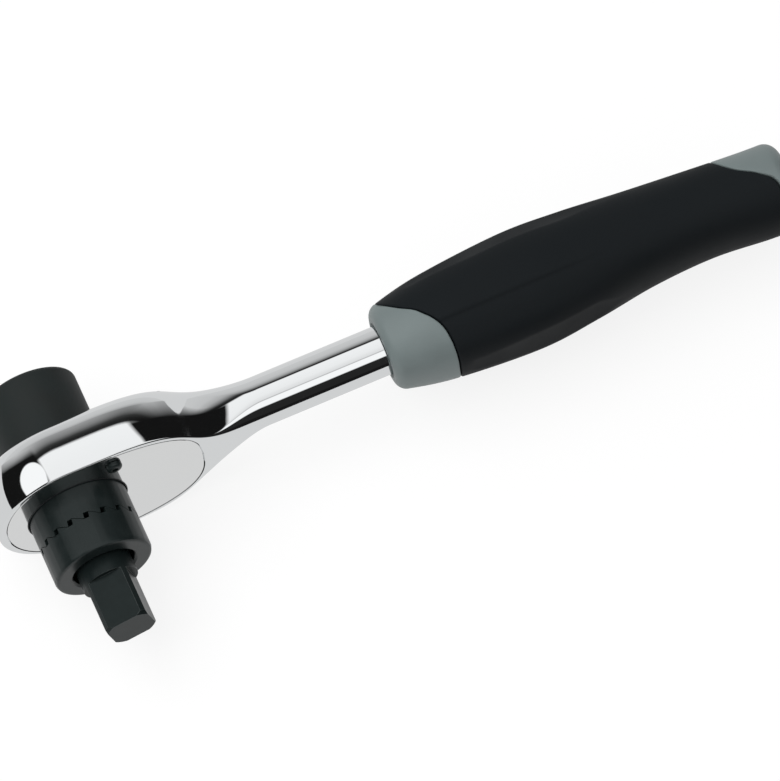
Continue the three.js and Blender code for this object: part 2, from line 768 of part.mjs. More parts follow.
const detentSpring = piece(
  'detent_spring',
  coil(DETENT_SPRING_DIAMETER, DETENT_SPRING_WIRE, DETENT_SPRING_LENGTH, 4),
  'spring_steel',
  drive,
);
detentSpring.rotation.y = -Math.PI / 2;
detentSpring.position.set(0, -detentP, -detentSpringStart);

// Two-way pawl, made in its middle position with one arm cut by the gear and mirrored
const pawlBack = pocketFloor + LEVER_CLIP_WIRE + 2 * FACE_GAP;
const pawlFront = plateBack - FACE_GAP;
const ballReach = stemRadius + LEVER_BALL_PROUD;
const leverBallCentre = ballReach - LEVER_BALL_DIAMETER / 2;

function pawlArm() {
  const front = leverX - GEAR_TIP_RADIUS;
  const outline = polygon([
    [leverX - front - PAWL_ARM_LENGTH, PAWL_ARM_INNER],
    [leverX - front - PAWL_ARM_LENGTH, PAWL_ARM_OUTER],
    [leverX - front, PAWL_ARM_SHOULDER],
    [leverX + PAWL_BOSS_RADIUS / 2, PAWL_BOSS_RADIUS * 0.8],
    [leverX, 0],
    [leverX - PAWL_BOSS_RADIUS, 0],
  ]);
  const meshed = turned(prism(outline, pawlBack, pawlFront), -PAWL_ROCK, leverX);
  const cut = meshed.subtract(prism(gearOutline(PAWL_MESH_GAP), gearBack - 1, gearFront + 1));
  return turned(cut, PAWL_ROCK, leverX);
}

function ballTrack() {
  const half = (LEVER_THROW / 2 - PAWL_ROCK) + 2;
  const ballHalf = THREE.MathUtils.radToDeg(Math.asin((LEVER_BALL_DIAMETER / 2 + SEAT_GAP) / leverBallCentre));
  const angle = THREE.MathUtils.degToRad(half + ballHalf);
  const shape = new THREE.Shape();
  const radius = ballReach + RUN_GAP;
  shape.moveTo(0, 0);
  shape.lineTo(radius * Math.cos(angle), -radius * Math.sin(angle));
  shape.absarc(0, 0, radius, -angle, angle);
  const high = LEVER_BALL_DIAMETER / 2 + RUN_GAP;
  const track = prism(shape, -high, high);
  return solidFrom(geometryOf(track).translate(leverX, -(pawlBack + pawlFront) / 2, 0));
}

function pawl() {
  const arm = pawlArm();
  let whole = rod(PAWL_BOSS_RADIUS, pawlBack, pawlFront, MEDIUM, leverX).add(arm).add(mirroredFlank(arm));
  const relief = rod(GEAR_TIP_RADIUS + PAWL_RELIEF, gearBack - 1, gearFront + 1, FINE);
  const middle = box([0, -gearFront - 1, -PAWL_ARM_INNER], [leverX, 1 - gearBack, PAWL_ARM_INNER]);
  whole = whole.subtract(relief.intersect(middle));
  whole = whole.subtract(rod(stemRadius + RUN_GAP, pawlBack - 1, pawlFront + 1, MEDIUM, leverX));
  return turned(whole.subtract(ballTrack()), -PAWL_ROCK, leverX);
}

piece('pawl', pawl(), 'steel');

// Reversing lever on the back of the head, with its stem through the pawl
const lever = new THREE.Group();
lever.position.x = leverX;
lever.rotation.y = THREE.MathUtils.degToRad(-LEVER_THROW / 2);
tool.add(lever);

const ballP = (pawlBack + pawlFront) / 2;
const leverSpringEnd = leverBallCentre - LEVER_BALL_DIAMETER / 2 - SEAT_GAP;
const leverWellFloor = leverSpringEnd - LEVER_SPRING_LENGTH - SEAT_GAP;
const clipP = pocketFloor + FACE_GAP;

function reverseLever() {
  const discTop = -HEAD_REAR - FACE_GAP;
  const discEnd = discTop - LEVER_DISC_HEIGHT;
  const groove = stemRadius - LEVER_CLIP_GROOVE;
  const stem = revolve([
    [0, discEnd],
    [LEVER_DISC_RADIUS - LEVER_DISC_EDGE, discEnd],
    [LEVER_DISC_RADIUS, discEnd + LEVER_DISC_EDGE],
    [LEVER_DISC_RADIUS, discTop],
    [stemRadius, discTop],
    [stemRadius, clipP - SEAT_GAP],
    [groove, clipP - SEAT_GAP],
    [groove, clipP + LEVER_CLIP_WIRE + SEAT_GAP],
    [stemRadius, clipP + LEVER_CLIP_WIRE + SEAT_GAP],
    [stemRadius, pawlFront],
    [0, pawlFront],
  ], MEDIUM);
  const tab = new THREE.Shape();
  const half = LEVER_TAB_WIDTH / 2;
  tab.moveTo(-LEVER_DISC_RADIUS / 2, -half);
  tab.lineTo(LEVER_TAB_REACH - half, -half);
  tab.absarc(LEVER_TAB_REACH - half, 0, half, -Math.PI / 2, Math.PI / 2);
  tab.lineTo(-LEVER_DISC_RADIUS / 2, half);
  const thumb = prism(tab, discTop - LEVER_TAB_HEIGHT, discTop);
  const radius = LEVER_BALL_DIAMETER / 2 + SEAT_GAP;
  const well = new THREE.CylinderGeometry(radius, radius, stemRadius + 1 - leverWellFloor, COARSE);
  well.rotateZ(Math.PI / 2).translate((stemRadius + 1 + leverWellFloor) / 2, -ballP, 0);
  return stem.add(thumb).subtract(solidFrom(well));
}

function leverClip() {
  const inner = stemRadius - LEVER_CLIP_GROOVE + SEAT_GAP;
  const clip = ring(inner, LEVER_CLIP_RADIUS, clipP, clipP + LEVER_CLIP_WIRE, MEDIUM);
  const half = LEVER_CLIP_MOUTH / 2;
  return clip.subtract(box([0, -HEAD_FRONT, -half], [LEVER_CLIP_RADIUS + 1, HEAD_REAR, half]));
}

piece('reverse_lever', reverseLever(), 'black_oxide', lever);
piece('lever_clip', leverClip(), 'spring_steel', lever);
const leverBall = piece(
  'lever_ball',
  solidFrom(new THREE.SphereGeometry(LEVER_BALL_DIAMETER / 2, 14, 8)),
  'steel',
  lever,
);
leverBall.position.set(leverBallCentre, -ballP, 0);
const leverSpring = piece(
  'lever_spring',
  coil(LEVER_SPRING_DIAMETER, LEVER_SPRING_WIRE, LEVER_SPRING_LENGTH, 4),
  'spring_steel',
  lever,
);
leverSpring.position.set(leverSpringEnd - LEVER_SPRING_LENGTH, -ballP, 0);

// Grip: a hard core on the tang and a soft sleeve let into it
const GRIP_POINTS = 28;
const GRIP_ROWS = 14;
const GRIP_END_MARGIN = 5;
const gripCurves = [1, 2, 3].map((column) =>
  new THREE.SplineCurve(GRIP_SECTIONS.map((row) => new THREE.Vector2(row[0], row[column]))));

function heightAt(curve, along) {
  let [low, high] = [0, 1];
  for (let i = 0; i < 24; i += 1) {
    const middle = (low + high) / 2;
    if (curve.getPoint(middle).x < along) low = middle;
    else high = middle;
  }
  return curve.getPoint(low).y;
}

function gripSection(along, drawIn) {
  const [back, front, flank] = gripCurves.map((curve) => heightAt(curve, along) - drawIn);
  return Array.from({ length: GRIP_POINTS }, (_, i) => {
    const angle = (i / GRIP_POINTS) * 2 * Math.PI;
    const power = 2 / GRIP_SQUARENESS;
    const z = flank * Math.sign(Math.cos(angle)) * Math.abs(Math.cos(angle)) ** power;
    const height = Math.sin(angle) > 0 ? front : back;
    const p = height * Math.sign(Math.sin(angle)) * Math.abs(Math.sin(angle)) ** power;
    return new THREE.Vector3(GRIP_START + along, -p, z);
  });
}

function gripOuter() {
  const rear = [1, 0.85, 0.5, 0.15].map((share) => gripLength - GRIP_REAR_ROUND * share);
  const front = [0, 0.15, 0.5, 1].map((share) => GRIP_FRONT_ROUND * share);
  const middle = Array.from({ length: GRIP_ROWS }, (_, i) =>
    GRIP_END_MARGIN + (i * (gripLength - 2 * GRIP_END_MARGIN)) / (GRIP_ROWS - 1));
  const stations = [...front, ...middle, ...rear, gripLength];
  return loft(stations.map((along) => {
    const drawIn = endDraw(GRIP_FRONT_ROUND, along) + endDraw(GRIP_REAR_ROUND, gripLength - along);
    return gripSection(along, drawIn);
  }));
}

function gripInner(depth) {
  const stations = Array.from({ length: GRIP_ROWS }, (_, i) => (i * gripLength) / (GRIP_ROWS - 1));
  return loft(stations.map((along) => gripSection(along, depth)));
}

// Outline of the sleeve seen across the tool, longer towards the back at the front end
function sleeveOutline(growth) {
  const reach = gripLength / 3;
  const steps = 10;
  const low = SLEEVE_STEP_CENTRE - SLEEVE_STEP_WIDTH / 2;
  const high = SLEEVE_STEP_CENTRE + SLEEVE_STEP_WIDTH / 2;
  const levels = [-reach];
  for (let i = 0; i <= steps; i += 1) levels.push(low + ((high - low) * i) / steps);
  levels.push(reach);
  const front = levels.map((p) => {
    const along = easeBetween(p, low, high, SLEEVE_FRONT_BACK, SLEEVE_FRONT_DRIVE);
    return [GRIP_START + along - growth, p];
  });
  const rear = levels.map((p) => {
    const along = easeBetween(p, low, high, SLEEVE_REAR_BACK, SLEEVE_REAR_DRIVE);
    return [GRIP_START + along + growth, p];
  });
  return polygon([...front, ...rear.reverse()]);
}

function gripSleeve() {
  const tube = gripOuter().subtract(gripInner(SLEEVE_THICKNESS));
  return tube.intersect(crossPrism(sleeveOutline(0), clutchRadius * 2));
}

function gripCore() {
  const outer = gripOuter();
  const recess = crossPrism(sleeveOutline(SLEEVE_SEAM), clutchRadius * 2);
  const waste = recess.subtract(gripInner(SLEEVE_THICKNESS + SLEEVE_SEAM));
  const shank = revolve([
    [0, -GRIP_START + 1],
    [shankRadius + RUN_GAP, -GRIP_START + 1],
    [shankRadius + RUN_GAP, -tangStart - SEAT_GAP],
    [0, -tangStart - SEAT_GAP],
  ], MEDIUM);
  const bore = solidFrom(geometryOf(shank).rotateZ(-Math.PI / 2));
  return outer.subtract(waste).subtract(bore).subtract(tang(RUN_GAP));
}

piece('grip_core', gripCore(), 'grip_grey');
piece('grip_sleeve', gripSleeve(), 'grip_black');

export default part;
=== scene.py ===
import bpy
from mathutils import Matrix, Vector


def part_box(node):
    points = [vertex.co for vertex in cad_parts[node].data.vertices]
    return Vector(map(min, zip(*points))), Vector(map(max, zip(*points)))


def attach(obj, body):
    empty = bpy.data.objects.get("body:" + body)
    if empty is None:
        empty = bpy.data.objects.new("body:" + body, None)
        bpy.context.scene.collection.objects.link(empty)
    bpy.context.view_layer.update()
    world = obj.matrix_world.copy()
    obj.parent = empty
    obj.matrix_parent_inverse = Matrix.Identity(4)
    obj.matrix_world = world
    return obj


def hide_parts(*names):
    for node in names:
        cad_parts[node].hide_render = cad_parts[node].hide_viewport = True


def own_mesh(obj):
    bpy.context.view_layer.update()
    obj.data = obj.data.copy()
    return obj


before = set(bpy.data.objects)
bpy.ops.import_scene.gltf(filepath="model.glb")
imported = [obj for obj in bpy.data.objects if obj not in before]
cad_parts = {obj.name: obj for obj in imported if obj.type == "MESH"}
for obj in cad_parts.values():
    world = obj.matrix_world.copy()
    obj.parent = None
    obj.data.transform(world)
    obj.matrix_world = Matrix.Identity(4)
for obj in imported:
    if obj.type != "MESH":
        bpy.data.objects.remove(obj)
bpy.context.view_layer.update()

import bisect
import math

import bmesh
import bpy
from bpy.props import FloatProperty, FloatVectorProperty, IntProperty, PointerProperty
from mathutils import Matrix, Vector

bl_info = {
    "name": "Torque-limiting ratchet",
    "version": (1, 0, 0),
    "blender": (4, 5, 0),
    "location": "View3D > Sidebar > Ratchet",
    "description": "Dresses a torque-limiting ratchet's solids with smooth pieces and finishes",
    "category": "Object",
}

MM = 0.001
# Vertices nearer than this are one
WELD = 1e-7
FINE_WELD = 1e-8
# The two flanks of the tool
FLANKS = (1.0, -1.0)


def linear(hex_colour):
    """An sRGB hex colour as linear red, green, blue and alpha."""
    channels = [int(hex_colour[i : i + 2], 16) / 255 for i in (1, 3, 5)]
    return tuple(
        c / 12.92 if c <= 0.04045 else ((c + 0.055) / 1.055) ** 2.4 for c in channels
    ) + (1.0,)


def length(name, description, millimetres):
    """A length that a user may change, given in millimetres."""
    return FloatProperty(
        name=name,
        description=description,
        default=millimetres * MM,
        min=0.0,
        precision=5,
        subtype="DISTANCE",
        unit="LENGTH",
    )


def colour(name, description, hex_colour):
    """A colour that a user may change, given as sRGB hex."""
    return FloatVectorProperty(
        name=name,
        description=description,
        default=linear(hex_colour),
        size=4,
        min=0.0,
        max=1.0,
        subtype="COLOR",
    )


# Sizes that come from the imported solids
body_low, body_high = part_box("ratchet_body")
knob_low, knob_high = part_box("rear_knob")
grip_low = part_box("grip_core")[0]
# Height of the shank's axis above the end of the square, in metres
AXIS_HEIGHT = 0.03715


class RatchetHead(bpy.types.PropertyGroup):
    """Sizes of the forged head, its neck and its shank."""

    radius: length("Head radius", "Half width of the round head", body_high.z / MM)
    front: length("Front", "Drive-side face above the shank's axis", 6.7)
    rear: length("Rear", "Back face below the shank's axis", 7.0)
    front_round: length("Front round", "Round along the drive-side edge", 0.45)
    rear_round: length("Rear round", "Round along the back edge", 5.0)
    crown: FloatProperty(
        name="Crown",
        description="How far the head's side wall leans in at its edges",
        default=math.radians(12.0),
        min=0.0,
        subtype="ANGLE",
        unit="ROTATION",
    )
    neck_crown: FloatProperty(
        name="Neck crown",
        description="How far the neck's side wall leans in at its edges",
        default=math.radians(20.0),
        min=0.0,
        subtype="ANGLE",
        unit="ROTATION",
    )
    neck_from: length("Neck start", "Where the head starts to narrow", 8.0)
    neck_shoulder: length("Neck shoulder", "Pull of the shoulder's curve", 31.0)
    neck_tuck: length("Neck tuck", "Pull of the neck's hollow", 22.5)
    neck_end: length("Neck end", "Where the round shank starts", 45.0)
    back_from: length("Back start", "Where the back starts to rise", 24.0)
    shank_radius: length("Shank radius", "Half the shank's diameter", 5.5)
    shank_flat: length("Shank flat", "Height of the flat on the drive side", 5.0)
    shank_end: length("Shank end", "Where the round shank ends in the grip", 79.2)
    tang_radius: length("Tang radius", "Half the tang's diameter", 4.2)
    tang_end: length("Tang end", "End of the tang in the grip", body_high.x / MM)
    plate_radius: length("Plate end", "Round end of the cover plate from the drive axis", 16.0)
    plate_width: length("Plate width", "Half width of the cover plate", 17.2)
    plate_tip: length("Plate tip", "Pointed end of the cover plate", 28.95)
    plate_back: length("Plate back", "Seat of the cover plate", 5.1)
    plate_line: length("Plate line", "Gap round the cover plate", 0.2)
    pocket_radius: length("Pocket radius", "Room for the ratchet gear", 14.35)
    pocket_floor: length("Floor", "Wall behind the gear", 3.1)
    lever_place: length("Lever place", "Lever's axis behind the drive axis", 20.5)
    screw_x: length("Screw place", "Screws along the handle", 9.625)
    screw_z: length("Screw spread", "Screws from the middle", 13.247)


class RatchetDrive(bpy.types.PropertyGroup):
    """Sizes of the turned pieces on the drive axis."""

    knob_radius: length("Knob radius", "Half the knob's diameter", knob_high.x / MM)
    knob_edge: length("Knob edge", "Round at the knob's end", 1.2)
    knob_wall: length("Knob wall", "Wall round the spring pack", 2.1)
    knob_bore: length("Knob thread", "Radius of the knob's thread", 7.7)
    seal_inner: length("Seal bore", "Inner radius of the barrel's seal", 11.15)
    seal_outer: length("Seal radius", "Outer radius of the barrel's seal", 11.35)
    seal_proud: length("Seal height", "Seal above the plate", 0.12)
    edge: length("Broken edge", "Width of the broken edges on turned steel", 0.09)
    steps: IntProperty(
        name="Steps", description="Steps in a full turn", default=128, min=24, max=256
    )


class RatchetGrip(bpy.types.PropertyGroup):
    """Sizes of the grip's core and sleeve."""

    start: length("Start", "Front of the grip from the drive axis", grip_low.x / MM)
    squareness: FloatProperty(
        name="Squareness", description="Fullness of the sections", default=2.3, min=2.0
    )
    front_round: length("Front round", "Round at the front", 2.0)
    rear_round: length("Rear round", "Round at the rear", 3.2)
    sleeve: length("Sleeve", "Thickness of the soft sleeve", 2.2)
    seam: length("Seam", "Gap between sleeve and core", 0.25)
    lip: length("Lip", "Round of the edges along the seam", 0.35)
    facet: length("Facet", "Depth of the crease along the sleeve's flanks", 0.42)
    flat_radius: length("Flat radius", "Round that the sleeve's flats are cut from", 12.5)
    points: IntProperty(
        name="Points", description="Points round a section", default=180, min=24
    )
    rows: IntProperty(
        name="Rows", description="Sections along the sleeve", default=110, min=12
    )


class RatchetFinish(bpy.types.PropertyGroup):
    """Colours of the finishes."""

    chrome: colour("Chrome", "Bright chrome on the forging", "#e9ebec")
    plate: colour("Plate", "Polished cover plate", "#ebecec")
    oxide: colour("Black oxide", "Oxide on the turned steel", "#111717")
    oxide_pale: colour("Rubbed oxide", "Where handling has rubbed it", "#1c2323")
    edge: colour("Worn edge", "Steel that shows along worn edges", "#646a6a")
    knob: colour("Knob", "Blasted black knob", "#1a1c1b")
    sleeve: colour("Sleeve", "Soft black overmould", "#0e1316")
    core: colour("Core", "Hard grey plastic", "#687272")
    rubber: colour("Seal", "Black nitrile rubber", "#15181a")
    steel: colour("Steel", "Ground tool steel", "#a9abac")
    spring: colour("Spring steel", "Oil-tempered spring steel", "#5d564e")
    floor: colour("Floor", "Pale studio floor", "#f4f4f4")


class RatchetStage(bpy.types.PropertyGroup):
    """Camera and light."""

    distance: length("Distance", "Camera from the middle of the picture", 1600.0)
    picture: length("Picture", "Width that the picture takes in", 780 / 4.7)
    key: FloatProperty(
        name="Key light", description="Power of the soft key", default=10.0, unit="POWER"
    )
    fill: FloatProperty(
        name="Fill", description="Level of the room's own light", default=0.62, min=0.0
    )


def add_node(tree, kind, links, **settings):
    """Adds one node with its settings, and sets or links its inputs."""
    node = tree.nodes.new(kind)
    for name, value in settings.items():
        setattr(node, name, value)
    for socket, value in links.items():
        if isinstance(value, bpy.types.NodeSocket):
            tree.links.new(value, node.inputs[socket])
        else:
            node.inputs[socket].default_value = value
    return node


def start_finish(name, **constants):
    """A new material with its constant inputs set on the shader itself."""
    material = bpy.data.materials.new(name)
    material.use_nodes = True
    tree = material.node_tree
    shader = tree.nodes["Principled BSDF"]
    for socket, value in constants.items():
        shader.inputs[socket.replace("_", " ")].default_value = value
    place = add_node(tree, "ShaderNodeTexCoord", {}).outputs["Object"]
    return tree, shader, place


# Most of a noise's values lie between these
NOISE_SPAN = (0.3, 0.7)
WHOLE_SPAN = (0.0, 1.0)


def cover(tree, shader, patches, rough, span=NOISE_SPAN, tones=None, grain=None, relief=None):
    """Gives a finish its patches of gloss, and its two tones and its relief where it has them."""
    patch = patches.outputs["Fac"]
    gloss = add_node(
        tree,
        "ShaderNodeMapRange",
        {
            "Value": patch,
            "From Min": span[0],
            "From Max": span[1],
            "To Min": rough[0],
            "To Max": rough[1],
        },
    )
    tree.links.new(gloss.outputs["Result"], shader.inputs["Roughness"])
    if tones:
        tint = add_node(
            tree, "ShaderNodeMix", {"Factor": patch, 6: tones[0], 7: tones[1]}, data_type="RGBA"
        )
        tree.links.new(tint.outputs[2], shader.inputs["Base Color"])
    if grain:
        bump = add_node(
            tree,
            "ShaderNodeBump",
            {"Strength": relief[0], "Distance": relief[1], "Height": grain.outputs["Fac"]},
        )
        tree.links.new(bump.outputs["Normal"], shader.inputs["Normal"])


def bright_chrome(colours):
    # Bright nickel-chrome over a polished forging. It mirrors the room, and only a soft
    # waviness of the polish and a faint haze from handling break the reflections.
    tree, shader, place = start_finish("bright_chrome", Base_Color=colours.chrome, Metallic=1.0)
    # Handling haze in patches of about 9 mm
    haze = add_node(tree, "ShaderNodeTexNoise", {"Vector": place, "Scale": 110.0, "Detail": 3.0})
    # Polishing waves are about 5 mm long
    wave = add_node(tree, "ShaderNodeTexNoise", {"Vector": place, "Scale": 200.0, "Detail": 1.0})
    cover(tree, shader, haze, (0.02, 0.06), (0.35, 0.75), grain=wave, relief=(0.05, 0.0002))


def polished_plate(colours):
    # Stamped steel plate, linished along the handle and chromed. It mirrors what stands on
    # it, a little drawn out along the grain.
    tree, shader, place = start_finish(
        "linished_chrome_plate", Base_Color=colours.plate, Metallic=1.0
    )
    # Grain lines 0.08 mm apart are too fine for the picture, so they are drawn 0.35 mm apart
    drawn = add_node(tree, "ShaderNodeMapping", {"Vector": place, "Scale": (90.0, 2800.0, 2800.0)})
    lines = add_node(
        tree,
        "ShaderNodeTexNoise",
        {"Vector": drawn.outputs["Vector"], "Scale": 1.0, "Detail": 2.0},
    )
    cover(tree, shader, lines, (0.06, 0.1), grain=lines, relief=(0.04, 0.0001))


def black_oxide(colours):
    # Turned tool steel, hot-blackened and oiled. A deep grey with a satin sheen, rubbed
    # paler in soft patches, over the fine feed lines of the lathe. The spindle's square is
    # milled and less oily, so it shines less.
    for name, shine in (("hot_blackened_steel", 0.42), ("milled_blackened_steel", 0.22)):
        tree, shader, place = start_finish(
            name, IOR=1.5, Specular_IOR_Level=shine, Specular_Tint=(0.72, 0.76, 0.76, 1.0)
        )
        # Rubbed patches of about 3 mm
        rub = add_node(
            tree,
            "ShaderNodeTexNoise",
            {"Vector": place, "Scale": 330.0, "Detail": 5.0, "Roughness": 0.6},
        )
        # Feed lines 0.1 mm apart are drawn 0.4 mm apart: the wave's period is 2 pi / (20 scale)
        feed = add_node(
            tree,
            "ShaderNodeTexWave",
            {"Vector": place, "Scale": 785.0, "Distortion": 0.4, "Detail": 1.0},
            bands_direction="Y",
        )
        tones = (colours.oxide, colours.oxide_pale)
        cover(tree, shader, rub, (0.29, 0.36), tones=tones, grain=feed, relief=(0.03, 0.0001))


def worn_edge(colours):
    # Corner of blackened steel where use has rubbed through to bare metal: a dull bright line
    tree, shader, place = start_finish("worn_edge", Metallic=0.8)
    # Rubbed spots of about 1 mm
    rub = add_node(tree, "ShaderNodeTexNoise", {"Vector": place, "Scale": 900.0, "Detail": 3.0})
    cover(tree, shader, rub, (0.3, 0.45), WHOLE_SPAN, (colours.oxide_pale, colours.edge))


def blasted_black(colours):
    # Aluminium knob, bead-blasted and anodised black: an even matt with a very fine grit
    tree, shader, place = start_finish("blasted_black_anodised", IOR=1.5, Specular_IOR_Level=0.3)
    # Grit of 0.1 mm is drawn at 0.3 mm
    grit = add_node(tree, "ShaderNodeTexNoise", {"Vector": place, "Scale": 3300.0, "Detail": 2.0})
    # Hand-worn patches of about 6 mm
    wear = add_node(tree, "ShaderNodeTexNoise", {"Vector": place, "Scale": 160.0, "Detail": 4.0})
    tones = (colours.knob, colours.oxide_pale)
    cover(tree, shader, wear, (0.52, 0.62), tones=tones, grain=grit, relief=(0.12, 0.0001))


def soft_overmould(colours):
    # Soft thermoplastic elastomer, moulded against a spark-eroded tool: a deep matt black
    # with a fine grain, a touch smoother where a hand rubs it
    tree, shader, place = start_finish("soft_tpe_overmould", IOR=1.5, Specular_IOR_Level=0.15)
    # Spark grain of 0.15 mm is drawn at 0.4 mm
    grain = add_node(tree, "ShaderNodeTexNoise", {"Vector": place, "Scale": 2500.0, "Detail": 2.0})
    # Hand-rubbed patches of about 14 mm
    rub = add_node(tree, "ShaderNodeTexNoise", {"Vector": place, "Scale": 70.0, "Detail": 4.0})
    tones = (colours.sleeve, colours.rubber)
    cover(tree, shader, rub, (0.56, 0.68), tones=tones, grain=grain, relief=(0.16, 0.0001))


def moulded_grey(colours):
    # Hard grey polypropylene, injection-moulded: a soft half-gloss with a fine grain
    tree, shader, place = start_finish("moulded_grey_polypropylene", IOR=1.49)
    # Mould grain of 0.2 mm is drawn at 0.5 mm
    grain = add_node(tree, "ShaderNodeTexNoise", {"Vector": place, "Scale": 2000.0, "Detail": 2.0})
    # Flow shading in patches of about 10 mm
    flow = add_node(tree, "ShaderNodeTexNoise", {"Vector": place, "Scale": 100.0, "Detail": 3.0})
    level = add_node(
        tree,
        "ShaderNodeMapRange",
        {
            "Value": flow.outputs["Fac"],
            "From Min": NOISE_SPAN[0],
            "From Max": NOISE_SPAN[1],
            "To Min": 0.94,
            "To Max": 1.06,
        },
    )
    shade = add_node(
        tree,
        "ShaderNodeHueSaturation",
        {"Color": colours.core, "Value": level.outputs["Result"]},
    )
    tree.links.new(shade.outputs["Color"], shader.inputs["Base Color"])
    cover(tree, shader, flow, (0.38, 0.48), grain=grain, relief=(0.07, 0.0001))


def nitrile_rubber(colours):
    # Moulded nitrile rubber: dull black with a faint bloom
    tree, shader, place = start_finish("nitrile_rubber", IOR=1.52)
    # Bloom in spots of about 2 mm
    bloom = add_node(tree, "ShaderNodeTexNoise", {"Vector": place, "Scale": 500.0, "Detail": 3.0})
    cover(tree, shader, bloom, (0.45, 0.65), WHOLE_SPAN, (colours.rubber, colours.sleeve))


def ground_steel(colours):
    # Hardened tool steel, ground: grey metal with fine lines across it and a film of oil
    tree, shader, place = start_finish("ground_tool_steel", Base_Color=colours.steel, Metallic=1.0)
    # Grinding lines 0.05 mm apart are drawn 0.3 mm apart
    drawn = add_node(
        tree, "ShaderNodeMapping", {"Vector": place, "Scale": (3300.0, 3300.0, 200.0)}
    )
    lines = add_node(
        tree,
        "ShaderNodeTexNoise",
        {"Vector": drawn.outputs["Vector"], "Scale": 1.0, "Detail": 2.0},
    )
    cover(tree, shader, lines, (0.22, 0.4), grain=lines, relief=(0.08, 0.0001))


def spring_steel(colours):
    # Oil-tempered spring steel: dark straw-grey metal with a blotchy scale
    tree, shader, place = start_finish("oil_tempered_spring_steel", Metallic=0.9)
    # Scale blotches of about 1.5 mm
    scale = add_node(tree, "ShaderNodeTexNoise", {"Vector": place, "Scale": 650.0, "Detail": 4.0})
    cover(tree, shader, scale, (0.3, 0.5), WHOLE_SPAN, (colours.oxide_pale, colours.spring))


# Shaping


def ease(x, start, end, low, high):
    """Goes smoothly from low to high between start and end."""
    t = min(max((x - start) / (end - start), 0.0), 1.0)
    return low + (high - low) * t * t * (3.0 - 2.0 * t)


def quarter(steps, first=0):
    """Angles through a quarter turn."""
    return [math.pi / 2.0 * i / steps for i in range(first, steps + 1)]


def swell(x, start, full, fade, end):
    """Rises from nothing to one, stays, and falls to nothing again."""
    return ease(x, start, full, 0.0, 1.0) * ease(x, fade, end, 1.0, 0.0)


def draw_on(bm, chain, places, closed):
    """Extrudes a chain of vertices by one row and sets the new row to its places."""
    ends = chain[1:] + chain[:1] if closed else chain[1:]
    edges = [bm.edges.get(pair) for pair in zip(chain, ends)]
    grown = bmesh.ops.extrude_edge_only(bm, edges=edges)["geom"]
    fresh = {item for item in grown if isinstance(item, bmesh.types.BMVert)}
    row = [
        next(e.other_vert(vert) for e in vert.link_edges if e.other_vert(vert) in fresh)
        for vert in chain
    ]
    for vert, place in zip(row, places):
        vert.co = place
    return row


def open_chain(bm, places):
    """A few vertices joined in a row, to spin or extrude."""
    chain = [bm.verts.new(place) for place in places]
    for pair in zip(chain, chain[1:]):
        bm.edges.new(pair)
    return chain


def turned(profile, steps, x=0.0, z=0.0):
    """A closed body of revolution round the drive direction, from (radius, p) in metres."""
    bm = bmesh.new()
    places = [Vector((x + radius, AXIS_HEIGHT - p, z)) for radius, p in profile]
    chain = open_chain(bm, places)
    if (places[0] - places[-1]).length > 1e-9 and profile[-1][0] > 0.0:
        bm.edges.new((chain[-1], chain[0]))
    bmesh.ops.spin(
        bm,
        geom=bm.verts[:] + bm.edges[:],
        cent=(x, 0.0, z),
        axis=(0.0, 1.0, 0.0),
        angle=2.0 * math.pi,
        steps=steps,
        use_merge=True,
    )
    tidy(bm)
    return bm


def tidy(bm):
    """Merges doubles, then points the faces outwards."""
    bmesh.ops.remove_doubles(bm, verts=bm.verts[:], dist=WELD)
    bmesh.ops.dissolve_degenerate(bm, edges=bm.edges[:], dist=WELD)
    bmesh.ops.recalc_face_normals(bm, faces=bm.faces[:])


def rod(radius, low, high, steps, x=0.0, z=0.0):
    """A closed cylinder along the drive direction between two heights p."""
    bm = bmesh.new()
    place = Matrix.Translation((x, AXIS_HEIGHT - (low + high) / 2.0, z))
    bmesh.ops.create_cone(
        bm,
        cap_ends=True,
        segments=steps,
        radius1=radius,
        radius2=radius,
        depth=high - low,
        matrix=place @ Matrix.Rotation(math.pi / 2.0, 4, "X"),
    )
    return bm


def loose_object(name, bm):
    """Puts a shape into the scene under a name."""
    mesh = bpy.data.meshes.new(name)
    bm.to_mesh(mesh)
    bm.free()
    thing = bpy.data.objects.new(name, mesh)
    bpy.context.scene.collection.objects.link(thing)
    return thing


def carve(bm, cutters):
    """Cuts closed shapes out of a closed shape, one after the other."""
    for cutter in cutters:
        blank = loose_object("blank", bm)
        tool = loose_object("cutter", cutter)
        cut = blank.modifiers.new("cut", "BOOLEAN")
        cut.operation = "DIFFERENCE"
        cut.solver = "EXACT"
        cut.object = tool
        bpy.context.view_layer.update()
        bm = bmesh.new()
        bm.from_object(blank, bpy.context.evaluated_depsgraph_get())
        for thing in (blank, tool):
            mesh = thing.data
            bpy.data.objects.remove(thing)
            bpy.data.meshes.remove(mesh)
        if not bm.faces:
            raise RuntimeError("a cut left nothing over")
        bmesh.ops.remove_doubles(bm, verts=bm.verts[:], dist=WELD)
    return bm


def merged_copy(node):
    """A copy of a solid's mesh, with its triangles joined into flat faces."""
    bm = bmesh.new()
    bm.from_mesh(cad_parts[node].data)
    bmesh.ops.remove_doubles(bm, verts=bm.verts[:], dist=WELD)
    bmesh.ops.dissolve_limit(
        bm, angle_limit=math.radians(0.4), verts=bm.verts[:], edges=bm.edges[:]
    )
    return bm


